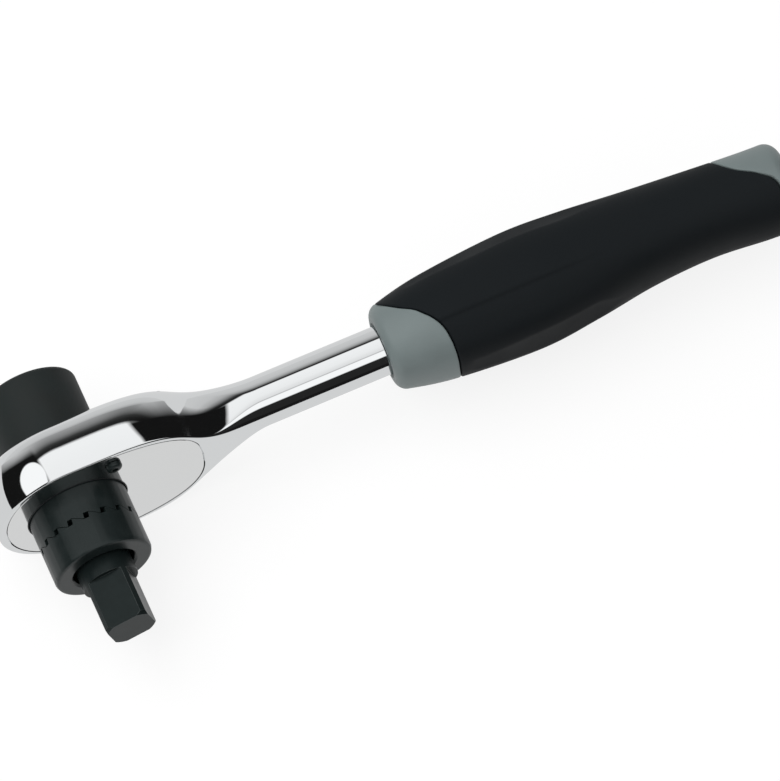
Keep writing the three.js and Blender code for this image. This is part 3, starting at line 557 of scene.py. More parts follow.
def break_edges(bm, width, segments, from_angle, chosen=None):
    """Bevels the sharp edges and gives back the new faces."""
    sharp = [
        edge
        for edge in bm.edges
        if edge.is_manifold
        and edge.calc_face_angle() > math.radians(from_angle)
        and (chosen is None or chosen(edge))
    ]
    return bmesh.ops.bevel(
        bm,
        geom=sharp,
        offset=width,
        offset_type="OFFSET",
        segments=segments,
        profile=0.5,
        affect="EDGES",
        material=-1,
        clamp_overlap=True,
    )["faces"]


def place_piece(name, bm, body, nodes, finishes, crease=24.0, even=False):
    """Finishes a shape as a named piece that stands for its solids."""
    piece = loose_object(name, bm)
    mesh = piece.data
    mesh.polygons.foreach_set("use_smooth", [True] * len(mesh.polygons))
    mesh.set_sharp_from_angle(angle=math.radians(crease))
    for finish in finishes:
        mesh.materials.append(bpy.data.materials[finish])
    if even:
        # The large faces lead the shading next to narrow ones
        shade = piece.modifiers.new("even_shading", "WEIGHTED_NORMAL")
        shade.keep_sharp = True
        shade.weight = 80
    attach(piece, body)
    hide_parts(*nodes)
    return piece


# How square the pointed half of the cover plate's outline is
PLATE_POWER = 2.8
# The side wall leans by this share of the head's crown where the back starts to rise, and most
# this far past the plate's tip
WALL_EASING = 0.45
LEAN_PAST_TIP = 0.004
# Half width of the strip down the middle of the neck's drive side
NECK_STRIP = 0.0011


def plate_half_width(x, widest, tip):
    """Half width of the cover plate's outline at x, in front of the drive axis."""
    share = min(max(x / tip, 0.0), 1.0)
    return widest * (1.0 - share**PLATE_POWER) ** (1.0 / PLATE_POWER)


def plan_half_width(x, head):
    """Half width of the head, neck and shank at x."""
    if x <= head.neck_from:
        return head.radius
    if x >= head.neck_end:
        return head.shank_radius
    low, high = 0.0, 1.0
    stops = (head.neck_from, head.neck_shoulder, head.neck_tuck, head.neck_end)
    # Halves the span of t until the neck's curve reaches x
    for _ in range(40):
        t = (low + high) / 2.0
        s = 1.0 - t
        reach = (
            s**3 * stops[0] + 3 * s * s * t * stops[1] + 3 * s * t * t * stops[2] + t**3 * stops[3]
        )
        low, high = (t, high) if reach < x else (low, t)
    s = 1.0 - t
    wide = s**3 + 3 * s * s * t
    return head.radius * wide + head.shank_radius * (1.0 - wide)


def half_section(x, head, in_plate):
    """The forging's section at x on one flank, from the drive side round to the back."""
    half = plan_half_width(x, head)
    neck_start = head.plate_tip
    front = ease(x, neck_start, head.neck_end, head.front, head.shank_radius)
    flat = ease(x, neck_start, head.neck_end, head.front, head.shank_flat)
    back = ease(x, head.back_from, head.neck_end, head.rear, head.shank_radius)
    deepest = min(half, (front + back) / 2.0)
    front_round = min(
        ease(x, neck_start, head.neck_end, head.front_round, head.shank_radius), deepest
    )
    back_round = min(
        ease(x, neck_start, head.neck_end, head.rear_round, head.shank_radius), deepest
    )
    steep = neck_start + LEAN_PAST_TIP
    lean = ease(x, head.neck_from, head.back_from, head.crown, WALL_EASING * head.crown)
    lean = ease(x, head.back_from, steep, lean, head.neck_crown)
    lean *= ease(x, steep, head.neck_end, 1.0, 0.0)
    front_centre, back_centre = front - front_round, back_round - back
    steepest = math.asin(min(1.0, (min(flat, front) - front_centre) / front_round))
    rise = front_centre + front_round * math.sin(lean)
    fall = back_centre - back_round * math.sin(lean)
    bow = (rise - fall) / 2.0 / max(math.sin(lean), 1e-6)
    edge = half - bow * (1.0 - math.cos(lean))
    arcs = []
    for i in range(13):
        angle = steepest + (lean - steepest) * i / 12.0
        arcs.append(
            (
                edge + front_round * (math.cos(angle) - math.cos(lean)),
                front_centre + front_round * math.sin(angle),
            )
        )
    for i in range(1, 8):
        angle = lean * (1.0 - i / 4.0)
        arcs.append(
            (half - bow * (1.0 - math.cos(angle)), (rise + fall) / 2.0 + bow * math.sin(angle))
        )
    for i in range(25):
        angle = lean + (math.pi / 2.0 - lean) * i / 24.0
        arcs.append(
            (
                edge + back_round * (math.cos(angle) - math.cos(lean)),
                back_centre - back_round * math.sin(angle),
            )
        )
    top = min(front, flat)
    if in_plate:
        edge = plate_half_width(
            x, head.plate_width + head.plate_line, head.plate_tip + head.plate_line
        )
        middle = [(0.0, head.plate_back), (edge, head.plate_back), (edge, top)]
    else:
        edge = min(NECK_STRIP, arcs[0][0] * 0.6)
        middle = [(0.0, top), (edge / 2.0, top), (edge, top)]
    return [Vector((x, AXIS_HEIGHT - p, z)) for z, p in [*middle, *arcs, (0.0, -back)]]


class RATCHET_OT_finishes(bpy.types.Operator):
    """Makes the materials for every finish on the tool"""

    bl_idname = "ratchet.finishes"
    bl_label = "Finishes"

    def execute(self, context):
        colours = context.scene.ratchet_finish
        for finish in (
            bright_chrome,
            polished_plate,
            black_oxide,
            worn_edge,
            blasted_black,
            soft_overmould,
            moulded_grey,
            nitrile_rubber,
            ground_steel,
            spring_steel,
        ):
            finish(colours)
        return {"FINISHED"}


# Cuts in the forging, in metres
HUB_BORE = 0.00805
STEM_BORE = 0.00335
SCREW_BORE = 0.0011
SCREW_BORE_DEPTH = 0.0061
PAST_FACE = 0.002
PAWL_POCKET_LENGTH = 0.0272
PAWL_POCKET_WIDTH = 0.0196
PAWL_POCKET_ROUND = 0.004
# Cuts that open on the drive side run on to this height, in metres
OPEN_TOP = 0.01


class RATCHET_OT_forging(bpy.types.Operator):
    """Draws the forged head, neck and shank as one chromed skin"""

    bl_idname = "ratchet.forging"
    bl_label = "Forged body"

    def execute(self, context):
        head = context.scene.ratchet_head
        bm = bmesh.new()
        chain = open_chain(bm, half_section(0.0, head, True))
        bmesh.ops.spin(
            bm,
            geom=bm.verts[:] + bm.edges[:],
            cent=(0.0, 0.0, 0.0),
            axis=(0.0, 1.0, 0.0),
            angle=-math.pi / 2.0,
            steps=40,
        )
        # The plate's recess is a little shorter than wide behind the drive axis
        widest = head.plate_width + head.plate_line
        for vert in bm.verts:
            shallow = vert.co.y < AXIS_HEIGHT - head.plate_back + 1e-6
            if vert.co.x < 0.0 and shallow and math.hypot(vert.co.x, vert.co.z) < widest + 1e-6:
                vert.co.x *= (head.plate_radius + head.plate_line) / widest
        tip = head.plate_tip + head.plate_line
        in_plate = {
            tip * math.cos(math.radians(a)) ** (2.0 / PLATE_POWER) for a in range(2, 90, 2)
        }
        in_plate |= {head.neck_from * i / 4.0 for i in range(1, 5)}
        last_in_plate = max(in_plate)
        neck = {last_in_plate + 2e-5}
        neck |= {last_in_plate + (head.neck_end - last_in_plate) * i / 36.0 for i in range(1, 37)}
        for x in sorted(in_plate):
            chain = draw_on(bm, chain, half_section(x, head, True), False)
        for x in [*sorted(neck), head.shank_end]:
            chain = draw_on(bm, chain, half_section(x, head, False), False)
        share = head.tang_radius / head.shank_radius
        for x in (head.shank_end + 1e-6, head.tang_end):
            places = [
                Vector((x, AXIS_HEIGHT + (place.y - AXIS_HEIGHT) * share, place.z * share))
                for place in half_section(head.shank_end, head, False)
            ]
            chain = draw_on(bm, chain, places, False)
        bmesh.ops.remove_doubles(bm, verts=bm.verts[:], dist=FINE_WELD)
        skin = bm.verts[:] + bm.edges[:] + bm.faces[:]
        bmesh.ops.mirror(bm, geom=skin, axis="Z", merge_dist=WELD)
        tidy(bm)
        bmesh.ops.edgeloop_fill(bm, edges=[edge for edge in bm.edges if edge.is_boundary])
        bmesh.ops.recalc_face_normals(bm, faces=bm.faces[:])
        place_piece(
            "forged_body",
            carve(bm, self.cutters(head)),
            "handle",
            ["ratchet_body"],
            ["bright_chrome"],
            20.0,
            True,
        )
        return {"FINISHED"}

    def cutters(self, head):
        """The gear's and the pawl's pockets, and the bores for hub, lever and screws."""
        floor = head.pocket_floor - head.rear
        through = (-head.rear - PAST_FACE, head.front + PAST_FACE)
        middle = (PAWL_POCKET_LENGTH / 2.0, AXIS_HEIGHT - (floor + OPEN_TOP) / 2.0, 0.0)
        pocket = bmesh.new()
        bmesh.ops.create_cube(
            pocket,
            size=1.0,
            matrix=Matrix.Translation(middle)
            @ Matrix.Diagonal((PAWL_POCKET_LENGTH, OPEN_TOP - floor, PAWL_POCKET_WIDTH, 1.0)),
        )

        def far_corner(edge):
            ends = [vert.co for vert in edge.verts]
            return min(end.x for end in ends) > middle[0] and ends[0].y != ends[1].y

        break_edges(pocket, PAWL_POCKET_ROUND, 6, 60.0, far_corner)
        low = head.front - SCREW_BORE_DEPTH
        return [
            rod(head.pocket_radius, floor, through[1], 96),
            pocket,
            rod(HUB_BORE, *through, 64),
            rod(STEM_BORE, *through, 48, head.lever_place),
            *(
                rod(SCREW_BORE, low, through[1], 24, head.screw_x, flank * head.screw_z)
                for flank in FLANKS
            ),
        ]


# The plate's room round the seal and above its seat, and its broken edge, in metres
PLATE_ROOM = 0.0001
PLATE_EDGE = 0.00018


class RATCHET_OT_plate(bpy.types.Operator):
    """Makes the flush cover plate with its round opening"""

    bl_idname = "ratchet.plate"
    bl_label = "Cover plate"

    def execute(self, context):
        head = context.scene.ratchet_head
        drive = context.scene.ratchet_drive
        bm = bmesh.new()
        flat = Matrix.Translation((0.0, AXIS_HEIGHT - head.front, 0.0)) @ Matrix.Rotation(
            math.pi / 2.0, 4, "X"
        )
        bmesh.ops.create_circle(
            bm, segments=160, radius=drive.seal_outer + PLATE_ROOM, matrix=flat
        )
        outline = bmesh.ops.create_circle(
            bm, segments=160, radius=head.plate_radius, matrix=flat
        )["verts"]
        for vert in outline:
            if vert.co.x > 0.0:
                turn = math.atan2(vert.co.z, vert.co.x)
                vert.co.x = head.plate_tip * abs(math.cos(turn)) ** (2.0 / PLATE_POWER)
                wide = head.plate_width * abs(math.sin(turn)) ** (2.0 / PLATE_POWER)
                vert.co.z = math.copysign(wide, turn)
            else:
                vert.co.z *= head.plate_width / head.plate_radius
        rim = {edge for vert in outline for edge in vert.link_edges}
        bmesh.ops.bridge_loops(bm, edges=bm.edges[:])
        walls = bmesh.ops.extrude_face_region(bm, geom=bm.faces[:])["geom"]
        thickness = head.front - head.plate_back - PLATE_ROOM
        for item in walls:
            if isinstance(item, bmesh.types.BMVert):
                item.co.y += thickness
        bmesh.ops.recalc_face_normals(bm, faces=bm.faces[:])
        bmesh.ops.bevel(
            bm,
            geom=list(rim),
            offset=PLATE_EDGE,
            offset_type="OFFSET",
            segments=3,
            profile=0.5,
            affect="EDGES",
            material=-1,
        )
        holes = [
            rod(SCREW_BORE, 0.0, OPEN_TOP, 24, head.screw_x, flank * head.screw_z)
            for flank in FLANKS
        ]
        place_piece(
            "flush_plate",
            carve(bm, holes),
            "handle",
            ["cover_plate"],
            ["linished_chrome_plate"],
            even=True,
        )
        return {"FINISHED"}


# The plate's screws: radii of shank, head and hexagon socket, then lengths, in metres
SCREW_SHANK = 0.001
SCREW_HEAD = 0.0018
SCREW_SOCKET = 0.00075
SCREW_LENGTH = 0.006
SCREW_SEAT_GAP = 0.00005
SCREW_CHAMFER = 0.00008
SCREW_RIM = 0.00045
SCREW_DOME = 0.00075
SCREW_SOCKET_FLOOR = 0.0005


class RATCHET_OT_screws(bpy.types.Operator):
    """Makes the two button-headed screws of the cover plate"""

    bl_idname = "ratchet.screws"
    bl_label = "Plate screws"

    def execute(self, context):
        head = context.scene.ratchet_head
        foot, seat = head.front - SCREW_LENGTH, head.front + SCREW_SEAT_GAP
        half = SCREW_HEAD / 2.0
        profile = [
            (0.0, foot),
            (SCREW_SHANK, foot),
            (SCREW_SHANK, seat),
            (SCREW_HEAD - SCREW_CHAMFER, seat),
            (SCREW_HEAD, seat + SCREW_CHAMFER),
        ]
        profile += [
            (half + half * math.cos(a), seat + SCREW_RIM + SCREW_DOME * math.sin(a))
            for a in quarter(8)
        ]
        profile.append((0.0, seat + SCREW_RIM + SCREW_DOME))
        for i, flank in enumerate(FLANKS, 1):
            place = (head.screw_x, flank * head.screw_z)
            socket = rod(
                SCREW_SOCKET, seat + SCREW_SOCKET_FLOOR, seat + PAST_FACE, 6, *place
            )
            place_piece(
                f"plate_screw_{i}",
                carve(turned(profile, 40, *place), [socket]),
                "handle",
                [f"cover_screw_{i}"],
                ["hot_blackened_steel"],
            )
        return {"FINISHED"}


# Round along the seal's edges, in metres
SEAL_ROUND = 0.0001


class RATCHET_OT_seal(bpy.types.Operator):
    """Turns the soft ring round the barrel"""

    bl_idname = "ratchet.seal"
    bl_label = "Barrel seal"

    def execute(self, context):
        head = context.scene.ratchet_head
        drive = context.scene.ratchet_drive
        low, high = head.plate_back + PLATE_ROOM, head.front + drive.seal_proud
        profile = [(drive.seal_inner, low), (drive.seal_outer, low)]
        profile += [
            (
                drive.seal_outer - SEAL_ROUND * (1.0 - math.cos(a)),
                high - SEAL_ROUND * (1.0 - math.sin(a)),
            )
            for a in quarter(5)
        ]
        profile += [
            (
                drive.seal_inner + SEAL_ROUND * (1.0 - math.sin(a)),
                high - SEAL_ROUND * (1.0 - math.cos(a)),
            )
            for a in quarter(5)
        ]
        place_piece(
            "barrel_seal",
            turned(profile, drive.steps),
            "handle",
            ["hub_seal"],
            ["nitrile_rubber"],
        )
        return {"FINISHED"}


# Only edges nearer the square's end than this are worn, by this width, in metres
SQUARE_REACH = 0.0122
WORN_WIDTH = 0.0002
# Only the lever's edges above the head's back are rounded, in metres
LEVER_SEAT = 0.0443
LEVER_EDGE = 0.00025
# The knob's mouth, end wall and thread, and the groove in its end as radius and depth, in metres
KNOB_MOUTH_ROUND = 0.0003
KNOB_END_WALL = 0.0017
KNOB_THREAD_LENGTH = 0.0034
KNOB_GROOVE = ((0.0076, 0.0), (0.0074, 0.00025), (0.007, 0.00025), (0.0068, 0.0))


class RATCHET_OT_jaws(bpy.types.Operator):
    """Finishes the two toothed halves of the clutch barrel"""

    bl_idname = "ratchet.jaws"
    bl_label = "Clutch barrel"

    def execute(self, context):
        drive = context.scene.ratchet_drive
        for name, node, body in (
            ("barrel_jaw", "clutch_hub", "hub"),
            ("barrel_ring", "clutch_ring", "output"),
        ):
            bm = merged_copy(node)
            break_edges(bm, drive.edge, 2, 28.0)
            finish = ["hot_blackened_steel"]
            place_piece(name, bm, body, [node], finish, 30.0, True)
        return {"FINISHED"}


class RATCHET_OT_spindle(bpy.types.Operator):
    """Finishes the drive spindle, with worn corners on its square"""

    bl_idname = "ratchet.spindle"
    bl_label = "Drive spindle"

    def execute(self, context):
        bm = merged_copy("drive_spindle")
        worn = break_edges(
            bm, WORN_WIDTH, 3, 25.0, lambda edge: all(v.co.y < SQUARE_REACH for v in edge.verts)
        )
        for face in worn:
            face.material_index = 1
        place_piece(
            "square_spindle",
            bm,
            "output",
            ["drive_spindle"],
            ["milled_blackened_steel", "worn_edge"],
            30.0,
            True,
        )
        return {"FINISHED"}


class RATCHET_OT_knob(bpy.types.Operator):
    """Turns the knob that covers the spring pack"""

    bl_idname = "ratchet.knob"
    bl_label = "Rear knob"

    def execute(self, context):
        drive = context.scene.ratchet_drive
        start, end = knob_low.y - AXIS_HEIGHT, knob_high.y - AXIS_HEIGHT
        outer, inner = drive.knob_radius, drive.knob_radius - drive.knob_wall
        profile = [(drive.knob_bore, start), (outer - KNOB_MOUTH_ROUND, start)]
        profile += [
            (
                outer - KNOB_MOUTH_ROUND * (1.0 - math.sin(a)),
                start + KNOB_MOUTH_ROUND * (1.0 - math.cos(a)),
            )
            for a in quarter(4, 1)
        ]
        profile += [
            (
                outer - drive.knob_edge * (1.0 - math.cos(a)),
                end - drive.knob_edge * (1.0 - math.sin(a)),
            )
            for a in quarter(10)
        ]
        profile += [(radius, end - depth) for radius, depth in KNOB_GROOVE]
        profile += [
            (0.0, end),
            (0.0, end - KNOB_END_WALL),
            (inner, end - KNOB_END_WALL),
            (inner, start + KNOB_THREAD_LENGTH),
            (drive.knob_bore, start + KNOB_THREAD_LENGTH),
            (drive.knob_bore, start),
        ]
        place_piece(
            "spring_knob",
            turned([(radius, -depth) for radius, depth in profile], drive.steps),
            "hub",
            ["rear_knob"],
            ["blasted_black_anodised"],
            even=True,
        )
        return {"FINISHED"}


class RATCHET_OT_lever(bpy.types.Operator):
    """Finishes the reversing lever"""

    bl_idname = "ratchet.lever"
    bl_label = "Reversing lever"

    def execute(self, context):
        bm = merged_copy("reverse_lever")
        break_edges(
            bm, LEVER_EDGE, 3, 35.0, lambda edge: all(v.co.y > LEVER_SEAT for v in edge.verts)
        )
        place_piece(
            "thumb_lever",
            bm,
            "lever",
            ["reverse_lever"],
            ["hot_blackened_steel"],
            30.0,
            True,
        )
        return {"FINISHED"}


# Half sizes of the grip at its stations: distance, back, drive side and flank, in millimetres
GRIP_STATIONS = (
    (0, 8.9, 9, 8.8),
    (12, 11.5, 11.3, 11),
    (32, 13.2, 12.5, 12.4),
    (46, 12.8, 11.2, 11.6),
    (60, 11.6, 9.2, 10.4),
    (74, 10.5, 8.6, 9.7),
    (87, 9.4, 9.8, 9.8),
    (95, 9.1, 10, 9.8),
)

# The sleeve's edges: angle from the upper flank towards the drive side in degrees, and distance
# along the grip in millimetres
SLEEVE_FRONT = (
    (-90, 2.2),
    (-60, 2.3),
    (-40, 3.0),
    (-16, 6.0),
    (-2, 9.4),
    (8, 11.4),
    (22, 12.9),
    (39, 13.5),
    (60, 13.7),
    (90, 13.6),
)
SLEEVE_REAR = (
    (-90, 80.6),
    (-60, 80.7),
    (-45, 81.1),
    (-29, 82.3),
    (-14, 84.4),
    (-4, 87.0),
    (3, 89.0),
    (10, 90.4),
    (21, 91.2),
    (45, 91.5),
    (90, 91.5),
)
# Flats on the sleeve: middle and half width in degrees, then where they start, reach their width,
# taper and end, in metres along it
SLEEVE_FLATS = (
    (90.0, 16.5, 0.0148, 0.034, 0.045, 0.054),
    (-46.0, 14.0, 0.008, 0.028, 0.044, 0.062),
)
# A flat starts at this share of its width, and comes in over this length
FLAT_START = 0.6
FLAT_RUN_IN = 0.002
# The crease along the sleeve's flanks: where it starts, is full, fades and ends, in metres along
# the grip and in degrees round it
CREASE_ALONG = (0.004, 0.012, 0.036, 0.056)
CREASE_ROUND = (14.0, 18.0, 34.0, 62.0)


def grip_curves():
    """A smooth curve through the grip's stations, as a list of rows in metres."""
    rows = [Vector(row) * MM for row in GRIP_STATIONS]
    last = len(rows) - 1
    curve = []
    for i in range(last):
        before, a, b, after = rows[max(i - 1, 0)], rows[i], rows[i + 1], rows[min(i + 2, last)]
        leave, arrive = (b - before) / 2.0, (after - a) / 2.0
        for step in range(40):
            t = step / 40.0
            curve.append(
                (2 * a - 2 * b + leave + arrive) * t**3
                + (-3 * a + 3 * b - 2 * leave - arrive) * t * t
                + leave * t
                + a
            )
    return [*curve, rows[last]]


class GripShape:
    """Works out points on the grip's skin."""

    def __init__(self, grip, faceted):
        self.grip = grip
        self.faceted = faceted
        self.curve = grip_curves()
        self.places = [row[0] for row in self.curve]
        self.end = self.places[-1]
        self.angles = [2.0 * math.pi * i / grip.points for i in range(grip.points)]

    def heights(self, along):
        """Back, drive-side and flank half sizes at a distance along the grip."""
        i = min(max(bisect.bisect_right(self.places, along) - 1, 0), len(self.curve) - 2)
        a, b = self.curve[i], self.curve[i + 1]
        row = a.lerp(b, min(max((along - a[0]) / (b[0] - a[0]), 0.0), 1.0))
        return row[1], row[2], row[3]

    def point(self, along, angle, depth):
        """A point under the skin, at an angle from the upper flank towards the drive side."""
        back, drive, flank = (size - depth for size in self.heights(along))
        power = 2.0 / self.grip.squareness
        c, s = math.cos(angle), math.sin(angle)
        z = math.copysign(flank * abs(c) ** power, c)
        p = math.copysign((drive if s > 0.0 else back) * abs(s) ** power, s)
        return Vector((self.grip.start + along, AXIS_HEIGHT - p, z))

    def seam(self, stations, angle):
        """Distance along the grip at which the sleeve's edge crosses an angle."""
        turn = math.degrees(math.asin(math.sin(angle)))
        i = min(max(bisect.bisect_right(stations, (turn, math.inf)) - 1, 0), len(stations) - 2)
        before, after = stations[max(i - 1, 0)], stations[min(i + 2, len(stations) - 1)]
        a, b = stations[i], stations[i + 1]
        gap = b[0] - a[0]
        leave = (b[1] - before[1]) / (b[0] - before[0]) * gap
        arrive = (after[1] - a[1]) / (after[0] - a[0]) * gap
        t = (turn - a[0]) / gap
        rise = b[1] - a[1]
        along = a[1] + leave * t + (3 * rise - 2 * leave - arrive) * t * t
        return (along + (leave + arrive - 2 * rise) * t**3) * MM

    def end_draw(self, along):
        """How far the rounded ends have drawn in."""
        draw = 0.0
        for radius, gap in (
            (self.grip.front_round, along),
            (self.grip.rear_round, self.end - along),
        ):
            if gap < radius:
                draw += radius - math.sqrt(max(radius**2 - (radius - gap) ** 2, 0.0))
        return draw

    def facet(self, along, angle):
        """Flats moulded into the front of the sleeve, alike on both flanks."""
        turn = math.degrees(math.asin(math.sin(angle)))
        depth = self.grip.facet * swell(along, *CREASE_ALONG) * swell(turn, *CREASE_ROUND)
        for middle, half, start, full, taper, end in SLEEVE_FLATS:
            reach = half * ease(along, start, full, FLAT_START, 1.0)
            reach *= ease(along, taper, end, 1.0, 0.0)
            reach *= ease(along, start, start + FLAT_RUN_IN, 0.0, 1.0)
            off = abs(turn - middle)
            if off < reach:
                chord = math.cos(math.radians(reach)) / math.cos(math.radians(off))
                depth += self.grip.flat_radius * (1.0 - chord)
        return depth

    def sleeve_edge(self, stations, gap):
        """Distances along the grip of the sleeve's edge, moved by a gap."""
        return [self.seam(stations, a) + gap for a in self.angles]

    def level(self, along):
        """The same distance along the grip all the way round."""
        return [along] * len(self.angles)

    def ring(self, starts, ends, share=0.0, offset=0.0, depth=0.0, skin=True):
        """A ring of points, a share of the way between two edges."""
        places = []
        for a, low, high in zip(self.angles, starts, ends):
            along = low + (high - low) * share + offset
            under = depth
            if skin:
                under += self.end_draw(along) + (self.facet(along, a) if self.faceted else 0.0)
            places.append(self.point(along, a, under))
        return places

    def lip(self, starts, ends, share, rising):
        """Rings over a rounded edge, up to the skin or down from it."""
        rings = []
        for a in quarter(4):
            cosine, sine = (self.grip.lip * (1.0 - f(a)) for f in (math.cos, math.sin))
            offset, depth = (cosine, sine) if rising else (-sine, cosine)
            rings.append(self.ring(starts, ends, share, offset, depth))
        return rings

    def bore(self, along, radius):
        """A ring of points round the shank's axis."""
        x = self.grip.start + along
        return [
            Vector((x, AXIS_HEIGHT - radius * math.sin(a), radius * math.cos(a)))
            for a in self.angles
        ]


def ring_loft(rings):
    """Extrudes a ring of points through a list of rings."""
    bm = bmesh.new()
    chain = bmesh.ops.create_circle(bm, segments=len(rings[0]), radius=1.0)["verts"]
    for vert, place in zip(chain, rings[0]):
        vert.co = place
    for ring in rings[1:]:
        chain = draw_on(bm, chain, ring, True)
    return bm


# Room round the tang and the shank in the core, and the chamfer at its mouth, in metres
TANG_END_ROOM = 0.0002
SHANK_END_ROOM = 0.0001
BORE_GAP = 0.00015
BORE_POINT = 0.0001
MOUTH_CHAMFER = 0.0009


class RATCHET_OT_sleeve(bpy.types.Operator):
    """Lofts the soft sleeve of the grip"""

    bl_idname = "ratchet.sleeve"
    bl_label = "Grip sleeve"

    def execute(self, context):
        grip = context.scene.ratchet_grip
        shape = GripShape(grip, True)
        front, rear = shape.sleeve_edge(SLEEVE_FRONT, 0.0), shape.sleeve_edge(SLEEVE_REAR, 0.0)
        rings = [shape.ring(front, rear, 0.0, 0.0, grip.sleeve, False)]
        rings += shape.lip(front, rear, 0.0, True)
        rings += [shape.ring(front, rear, i / grip.rows) for i in range(1, grip.rows)]
        rings += shape.lip(front, rear, 1.0, False)
        rings += [
            shape.ring(front, rear, i / 20.0, 0.0, grip.sleeve, False) for i in range(20, -1, -1)
        ]
        bm = ring_loft(rings)
        tidy(bm)
        place_piece(
            "soft_sleeve",
            bm,
            "handle",
            ["grip_sleeve"],
            ["soft_tpe_overmould"],
            40.0,
        )
        return {"FINISHED"}


class RATCHET_OT_core(bpy.types.Operator):
    """Lofts the hard core of the grip, seen as its collar and its end"""

    bl_idname = "ratchet.core"
    bl_label = "Grip core"

    def execute(self, context):
        grip = context.scene.ratchet_grip
        head = context.scene.ratchet_head
        shape = GripShape(grip, False)
        front = shape.sleeve_edge(SLEEVE_FRONT, -grip.seam)
        rear = shape.sleeve_edge(SLEEVE_REAR, grip.seam)
        zero, whole = shape.level(0.0), shape.level(shape.end)
        tang_end = head.tang_end - grip.start + TANG_END_ROOM
        shank_end = head.shank_end - grip.start + SHANK_END_ROOM
        rings = [
            shape.bore(tang_end, BORE_POINT),
            shape.bore(tang_end, head.tang_radius + BORE_GAP),
            shape.bore(shank_end, head.tang_radius + BORE_GAP),
            shape.bore(shank_end, head.shank_radius + BORE_GAP),
            shape.bore(MOUTH_CHAMFER, head.shank_radius + BORE_GAP),
            shape.bore(0.0, head.shank_radius + MOUTH_CHAMFER),
        ]
        rings += [
            shape.ring(zero, zero, 0.0, grip.front_round * (1.0 - math.cos(a))) for a in quarter(8)
        ]
        begin = shape.level(grip.front_round)
        rings += [shape.ring(begin, front, i / 12.0) for i in range(1, 12)]
        rings += shape.lip(front, front, 0.0, False)
        under = grip.sleeve + grip.seam
        rings += [shape.ring(front, rear, i / 24.0, 0.0, under, False) for i in range(25)]
        rings += shape.lip(rear, rear, 0.0, True)
        finish = shape.level(shape.end - grip.rear_round)
        rings += [shape.ring(rear, finish, i / 10.0) for i in range(1, 11)]
        rings += [
            shape.ring(whole, whole, 0.0, -grip.rear_round * (1.0 - math.sin(a)))
            for a in quarter(12, 1)
        ]
        bm = ring_loft(rings)
        bmesh.ops.remove_doubles(bm, verts=bm.verts[:], dist=FINE_WELD)
        bmesh.ops.edgeloop_fill(bm, edges=[edge for edge in bm.edges if edge.is_boundary])
        bmesh.ops.recalc_face_normals(bm, faces=bm.faces[:])
        place_piece(
            "hard_core",
            bm,
            "handle",
            ["grip_core"],
            ["moulded_grey_polypropylene"],
            40.0,
        )
        return {"FINISHED"}


class RATCHET_OT_balls(bpy.types.Operator):
    """Makes the detent ball of the square"""

    bl_idname = "ratchet.balls"
    bl_label = "Detent ball"

    def execute(self, context):
        low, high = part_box("detent_ball")
        bm = bmesh.new()
        bmesh.ops.create_uvsphere(
            bm,
            u_segments=40,
            v_segments=24,
            radius=(high.y - low.y) / 2.0,
            matrix=Matrix.Translation((low + high) / 2.0),
        )
        place_piece(
            "square_ball", bm, "detent", ["detent_ball"], ["ground_tool_steel"]
        )
        return {"FINISHED"}


class RATCHET_OT_springs(bpy.types.Operator):
    """Makes the springs that give as the clutch lifts and the ball is pressed"""

    bl_idname = "ratchet.springs"
    bl_label = "Clutch and ball springs"

    def execute(self, context):
        for i in range(1, 7):
            disc = self.copy_spring(f"clutch_disc_{i}", f"disc_spring_{i}", "spring_seat")
            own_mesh(disc)
        coil = self.copy_spring("ball_spring", "detent_spring", "output")
        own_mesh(coil)
        return {"FINISHED"}

    def copy_spring(self, name, node, body):
        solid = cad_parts[node]
        bm = bmesh.new()
        bm.from_mesh(solid.data)
        bm.transform(solid.matrix_world)
        bmesh.ops.remove_doubles(bm, verts=bm.verts[:], dist=WELD)
        return place_piece(
            name, bm, body, [node], ["oil_tempered_spring_steel"]
        )


class RATCHET_OT_inner(bpy.types.Operator):
    """Gives the solids inside the tool their finishes"""

    bl_idname = "ratchet.inner"
    bl_label = "Inner pieces"

    def execute(self, context):
        ground = ["ratchet_gear", "pawl", "thrust_washer", "set_nut", "lever_ball"]
        sprung = ["lever_clip", "lever_spring"]
        for names, finish, slot in (
            (ground, "ground_tool_steel", "hard_steel"),
            (sprung, "oil_tempered_spring_steel", "spring_steel"),
        ):
            for name in names:
                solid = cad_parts[name]
                solid.data.materials.clear()
                solid.data.materials.append(bpy.data.materials[finish])
        return {"FINISHED"}


# The camera's axes, and the middle of its picture from the head's middle along the first two
CAMERA_RIGHT = Vector((0.9177, -0.3912, -0.0692))
CAMERA_UP = Vector((0.3828, 0.8238, 0.4179))
CAMERA_BACK = Vector((-0.1066, -0.4100, 0.9057))
PICTURE_MIDDLE = (0.0689, 0.0195)
SENSOR = 36.0
# The floor's middle, half size and gap under the tool, and the share of it seen as plain white
FLOOR_MIDDLE = 0.07
FLOOR_SIZE = 3.0
FLOOR_GAP = 0.0002
FLOOR_WHITE = 0.84
WHITE = (1.0, 1.0, 1.0, 1.0)
# What metal sees of the floor: pale paper, dark past its front edge except before the head
PAPER_EDGE = (-0.03, -0.012)
HEAD_EDGE = (0.036, 0.028)
PAPER_LEVELS = (0.01, 0.74)
# What metal sees of the room: tilt from straight up towards the drive side in degrees, and level
STUDIO_BANDS = (
    (-180, 0.74), (-120, 0.7), (-78, 0.66), (-62, 0.62), (-50, 0.46), (-43, 0.24), (-38, 0.05),
    (-35, 0.02), (-32, 0.02), (-30, 1.05), (4, 1.0), (24, 0.86), (27, 0.42), (30, 1.12),
    (53, 1.12), (56, 0.02), (114, 0.02), (120, 0.7), (180, 0.74),
)
